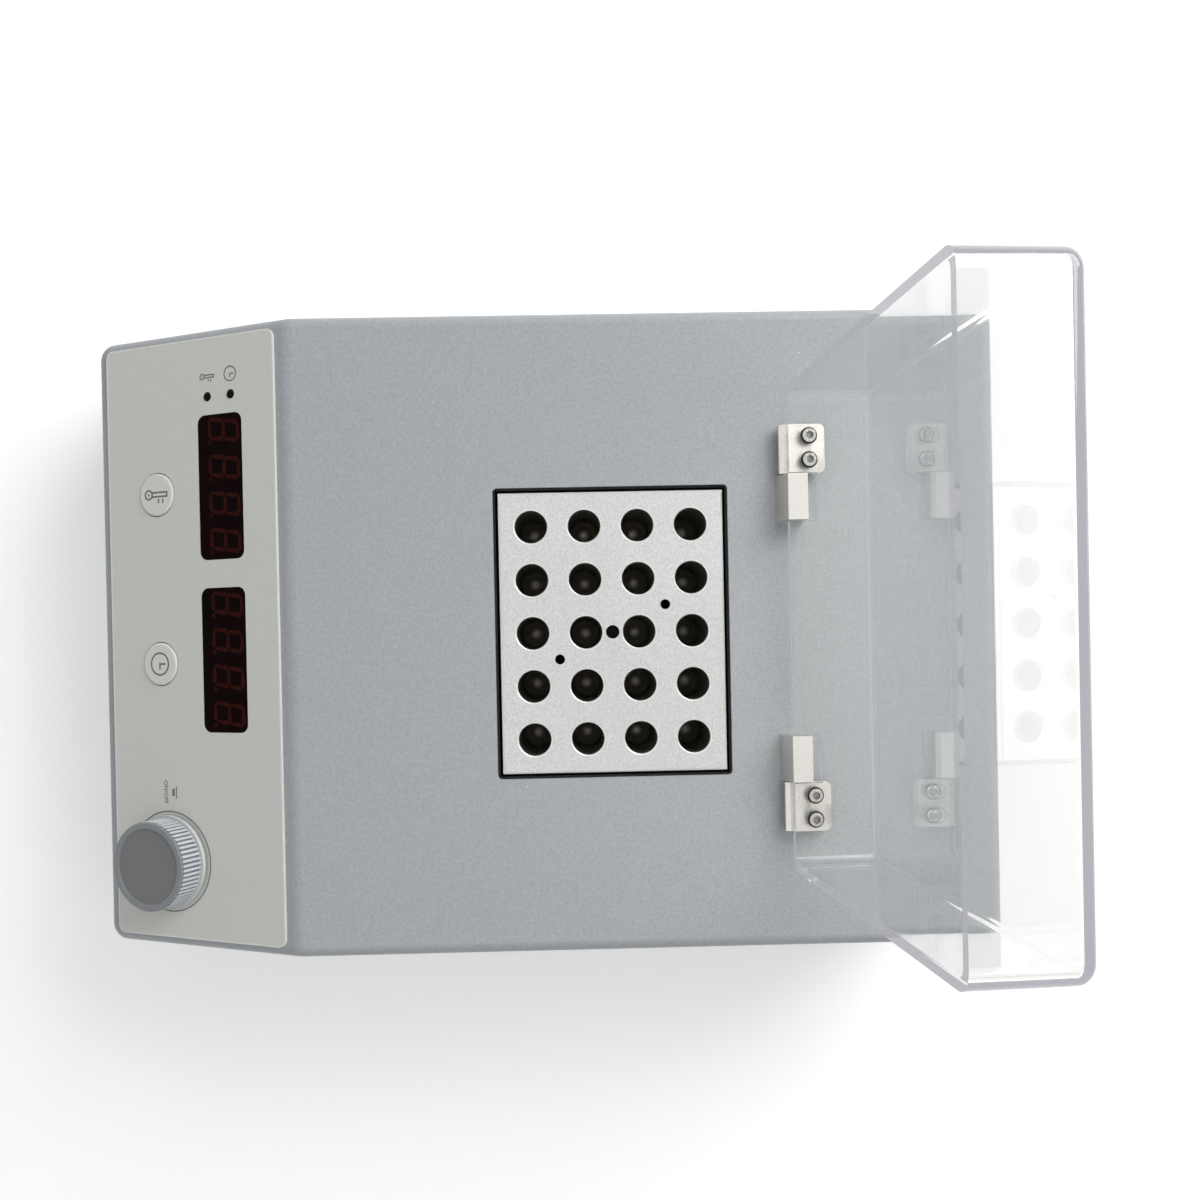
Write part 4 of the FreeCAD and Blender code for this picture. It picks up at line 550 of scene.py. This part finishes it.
# painted light: a glow drawn where a ray has run inside a wall
painted_edge_glow = add(clear_acrylic, "Emission", {"Color": linear("#B4B4BB"), "Strength": 1.0})
walls = add(clear_acrylic, "MixShader", {0: long_way.outputs[0], 1: either.outputs[0],
                                         2: painted_edge_glow.outputs[0]})
output = clear_acrylic.node_tree.nodes["Material Output"]
clear_acrylic.node_tree.links.new(walls.outputs[0], output.inputs["Surface"])
depth_tint = add(clear_acrylic, "VolumeAbsorption", {"Color": linear("#E0DFE2"), "Density": 2.0})
clear_acrylic.node_tree.links.new(depth_tint.outputs[0], output.inputs["Volume"])
dress(clear_acrylic, "lid")

# Lid screws: small stainless screws with a hexagon socket, each on a thin black ring under its head
# inside the lid, that go through its rear wall into the leaf.
stainless = finish("stainless_steel_screw", "#B2B0AB", "#D4D2CD", 0.4, 0.26, 0.006, metallic=1.0)
black_ring_finish = finish("black_head_ring", "#141414", "#202020", 0.5, 0.7, 0.01)
HINGE_Y, HINGE_Z, LID_TURN = 85, 93.4, math.radians(-94.3)
LID_OPEN = Matrix.Translation((0, HINGE_Y, HINGE_Z)) @ Matrix.Rotation(LID_TURN, 4, "X")
WALL_INSIDE, SCREW_UP = -5.3, 6.4  # in the closed lid, from the hinge's axis
HEXAGON = [Vector((1.4, 0)) @ Matrix.Rotation(math.radians(60 * turn), 2) for turn in range(6)]
RING_THICK = 0.25
heads, head_rings = bmesh.new(), bmesh.new()
for x in (-63.9, -55.9, 55.9, 63.9):
    seat = (LID_OPEN @ Matrix.Translation((x, WALL_INSIDE, SCREW_UP))
            @ Matrix.Rotation(math.radians(90), 4, "X"))
    screw(heads, seat @ Matrix.Translation((0, 0, RING_THICK)), HEXAGON, head=2.3, tall=1.0,
          shank=1.25, length=4.7 + RING_THICK)
    first = len(head_rings.verts)
    ring(head_rings, 0, 0, 0, inner=1.3, outer=2.8, thick=RING_THICK, segments=40)
    head_rings.verts.ensure_lookup_table()
    bmesh.ops.transform(head_rings, matrix=seat, verts=head_rings.verts[first:])
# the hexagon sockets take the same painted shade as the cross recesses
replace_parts(settle(heads, "lid_socket_screws", stainless, "lid",
                   second=recess_shade_steel), "lid_screws")
settle(head_rings, "lid_head_rings", black_ring_finish, "lid")

# Mains inlet and fuse drawer at the rear: moulded in glass filled nylon, black and dull, with
# bare brass pins. The encoder's nut, shaft and plunger behind the knob are of the same brass.
inlet_nylon = finish("glass_filled_nylon", "#161617", "#222223", 0.6, 0.5, 0.01)
dress(inlet_nylon, "inlet_socket", "fuse_drawer", "terminal_block", "thermal_cutout")
brass = finish("machined_brass", "#B08D4A", "#C9A764", 0.8, 0.3, 0.003, metallic=1.0)
dress(brass, "inlet_pins", "encoder_nut", "encoder_shaft", "push_plunger")

# Boards: glass fibre laminate under green solder resist, on black nylon standoffs. Their displays,
# switches, encoder and capacitor are moulded in black, and the transformer is wound in copper.
laminate = finish("solder_resist_laminate", "#1E4A33", "#2A5C41", 0.9, 0.35, 0.01)
dress(laminate, "control_board", "power_board")
black_moulding = finish("black_moulded_plastic", "#1A1A1B", "#262627", 0.7, 0.45, 0.01)
dress(black_moulding, "board_standoffs", "power_standoffs", "heat_display", "timer_display",
      "heat_switch", "timer_switch", "encoder_body", "capacitor")
copper = finish("enamelled_copper_winding", "#8A4A24", "#B0683A", 0.5, 0.35, 0.03, metallic=0.7)
dress(copper, "transformer")

# Heating parts under the block: an etched foil mat in orange polyimide, white ceramic wool round
# it, a steel sheathed probe, and the glass fuse in its drawer.
polyimide = finish("polyimide_film", "#A4561C", "#BF6D2C", 2.0, 0.3, 0.004)
dress(polyimide, "heater_mat")
ceramic_wool = finish("ceramic_wool", "#D6D4CC", "#EDEBE4", 1.2, 0.9, 0.3)
dress(ceramic_wool, "insulation_base", "insulation_collar")
sheath = finish("stainless_sheath", "#A8AAAC", "#C0C2C4", 0.7, 0.3, 0.003, metallic=1.0)
dress(sheath, "temperature_probe")
fuse_glass = finish("fuse_glass", "#C9D2D0", "#DDE4E2", 1.0, 0.08, 0.001, smudge=0.02)
dress(fuse_glass, "fuse")

# Bench: a plain pale floor that keeps a soft shadow. The studio's pale light is stronger from the
# rear, and the floor and the studio are lifted to white where the camera sees them.
FLOOR_LIFT = 0.3
ROOM_FRONT, ROOM_REAR = 0.24, 0.72
CASE_MIDDLE = Vector((0, 0, 0.08))
bench_mesh = bmesh.new()
bmesh.ops.create_grid(bench_mesh, x_segments=1, y_segments=1, size=3.0)
bench_data = bpy.data.meshes.new("bench")
bench_mesh.to_mesh(bench_data)
bench_mesh.free()
bench = bpy.data.objects.new("bench", bench_data)
bpy.context.scene.collection.objects.link(bench)
bench_paint = bpy.data.materials.new("pale_bench")
bench_paint.use_nodes = True
bench_shader = bench_paint.node_tree.nodes["Principled BSDF"]
bench_shader.inputs["Base Color"].default_value = linear("#F2F2F2")
bench_shader.inputs["Roughness"].default_value = 0.9


def background(owner):
    """Gives 1 where the owner is seen straight, in a gloss or through the lid, and 0 where it only
    lights something."""
    rays = add(owner, "LightPath")
    seen = add(owner, "Math", {0: rays.outputs["Is Camera Ray"],
                               1: rays.outputs["Is Transmission Ray"]}, operation="MAXIMUM")
    return add(owner, "Math", {0: seen.outputs[0], 1: rays.outputs["Is Glossy Ray"]},
               operation="MAXIMUM").outputs[0]


lift = add(bench_paint, "Math", {0: background(bench_paint), 1: FLOOR_LIFT},
           operation="MULTIPLY")
bench_paint.node_tree.links.new(lift.outputs[0], bench_shader.inputs["Emission Strength"])
bench_shader.inputs["Emission Color"].default_value = (1, 1, 1, 1)
bench_data.materials.append(bench_paint)

world = bpy.data.worlds.new("studio")
world.use_nodes = True
bpy.context.scene.world = world
toward = add(world, "SeparateXYZ", {0: add(world, "TexCoord").outputs["Generated"]})
dim = add(world, "MapRange", {"Value": toward.outputs["Y"], "From Min": -0.8, "From Max": 0.8,
                              "To Min": ROOM_FRONT, "To Max": ROOM_REAR})
strength = add(world, "MapRange", {"Value": background(world), "To Min": dim.outputs[0],
                                   "To Max": 1.0})
room = world.node_tree.nodes["Background"]
room.inputs["Color"].default_value = (1, 1, 1, 1)
world.node_tree.links.new(strength.outputs[0], room.inputs["Strength"])

for name, spot, size, power in (("window_light", (-0.75, 0.8, 0.8), 0.9, 14.5),
                                ("fill_light", (0.6, -0.9, 1.6), 1.4, 3.0)):
    lamp = bpy.data.lights.new(name, "AREA")
    lamp.size = size
    lamp.energy = power
    holder = bpy.data.objects.new(name, lamp)
    holder.location = spot
    aim = CASE_MIDDLE - holder.location
    holder.rotation_euler = aim.to_track_quat("-Z", "Y").to_euler()
    bpy.context.scene.collection.objects.link(holder)

# Camera: half a metre straight above the case, with the panel to the left of the picture. Its
# place, its turns and its lens were solved from the wells, the panel's corners and the lid.
view = bpy.data.cameras.new("camera")
view.sensor_width = 36.0
view.lens = 35.52
view.shift_y = 0.0419
camera = bpy.data.objects.new("camera", view)
camera.location = (3.35 * MM, 14.15 * MM, 491.1 * MM)
camera.rotation_euler = [math.radians(turn) for turn in (-0.382, -0.998, 88.835)]
bpy.context.scene.collection.objects.link(camera)
bpy.context.scene.camera = camera
bpy.context.scene.view_settings.view_transform = "Standard"
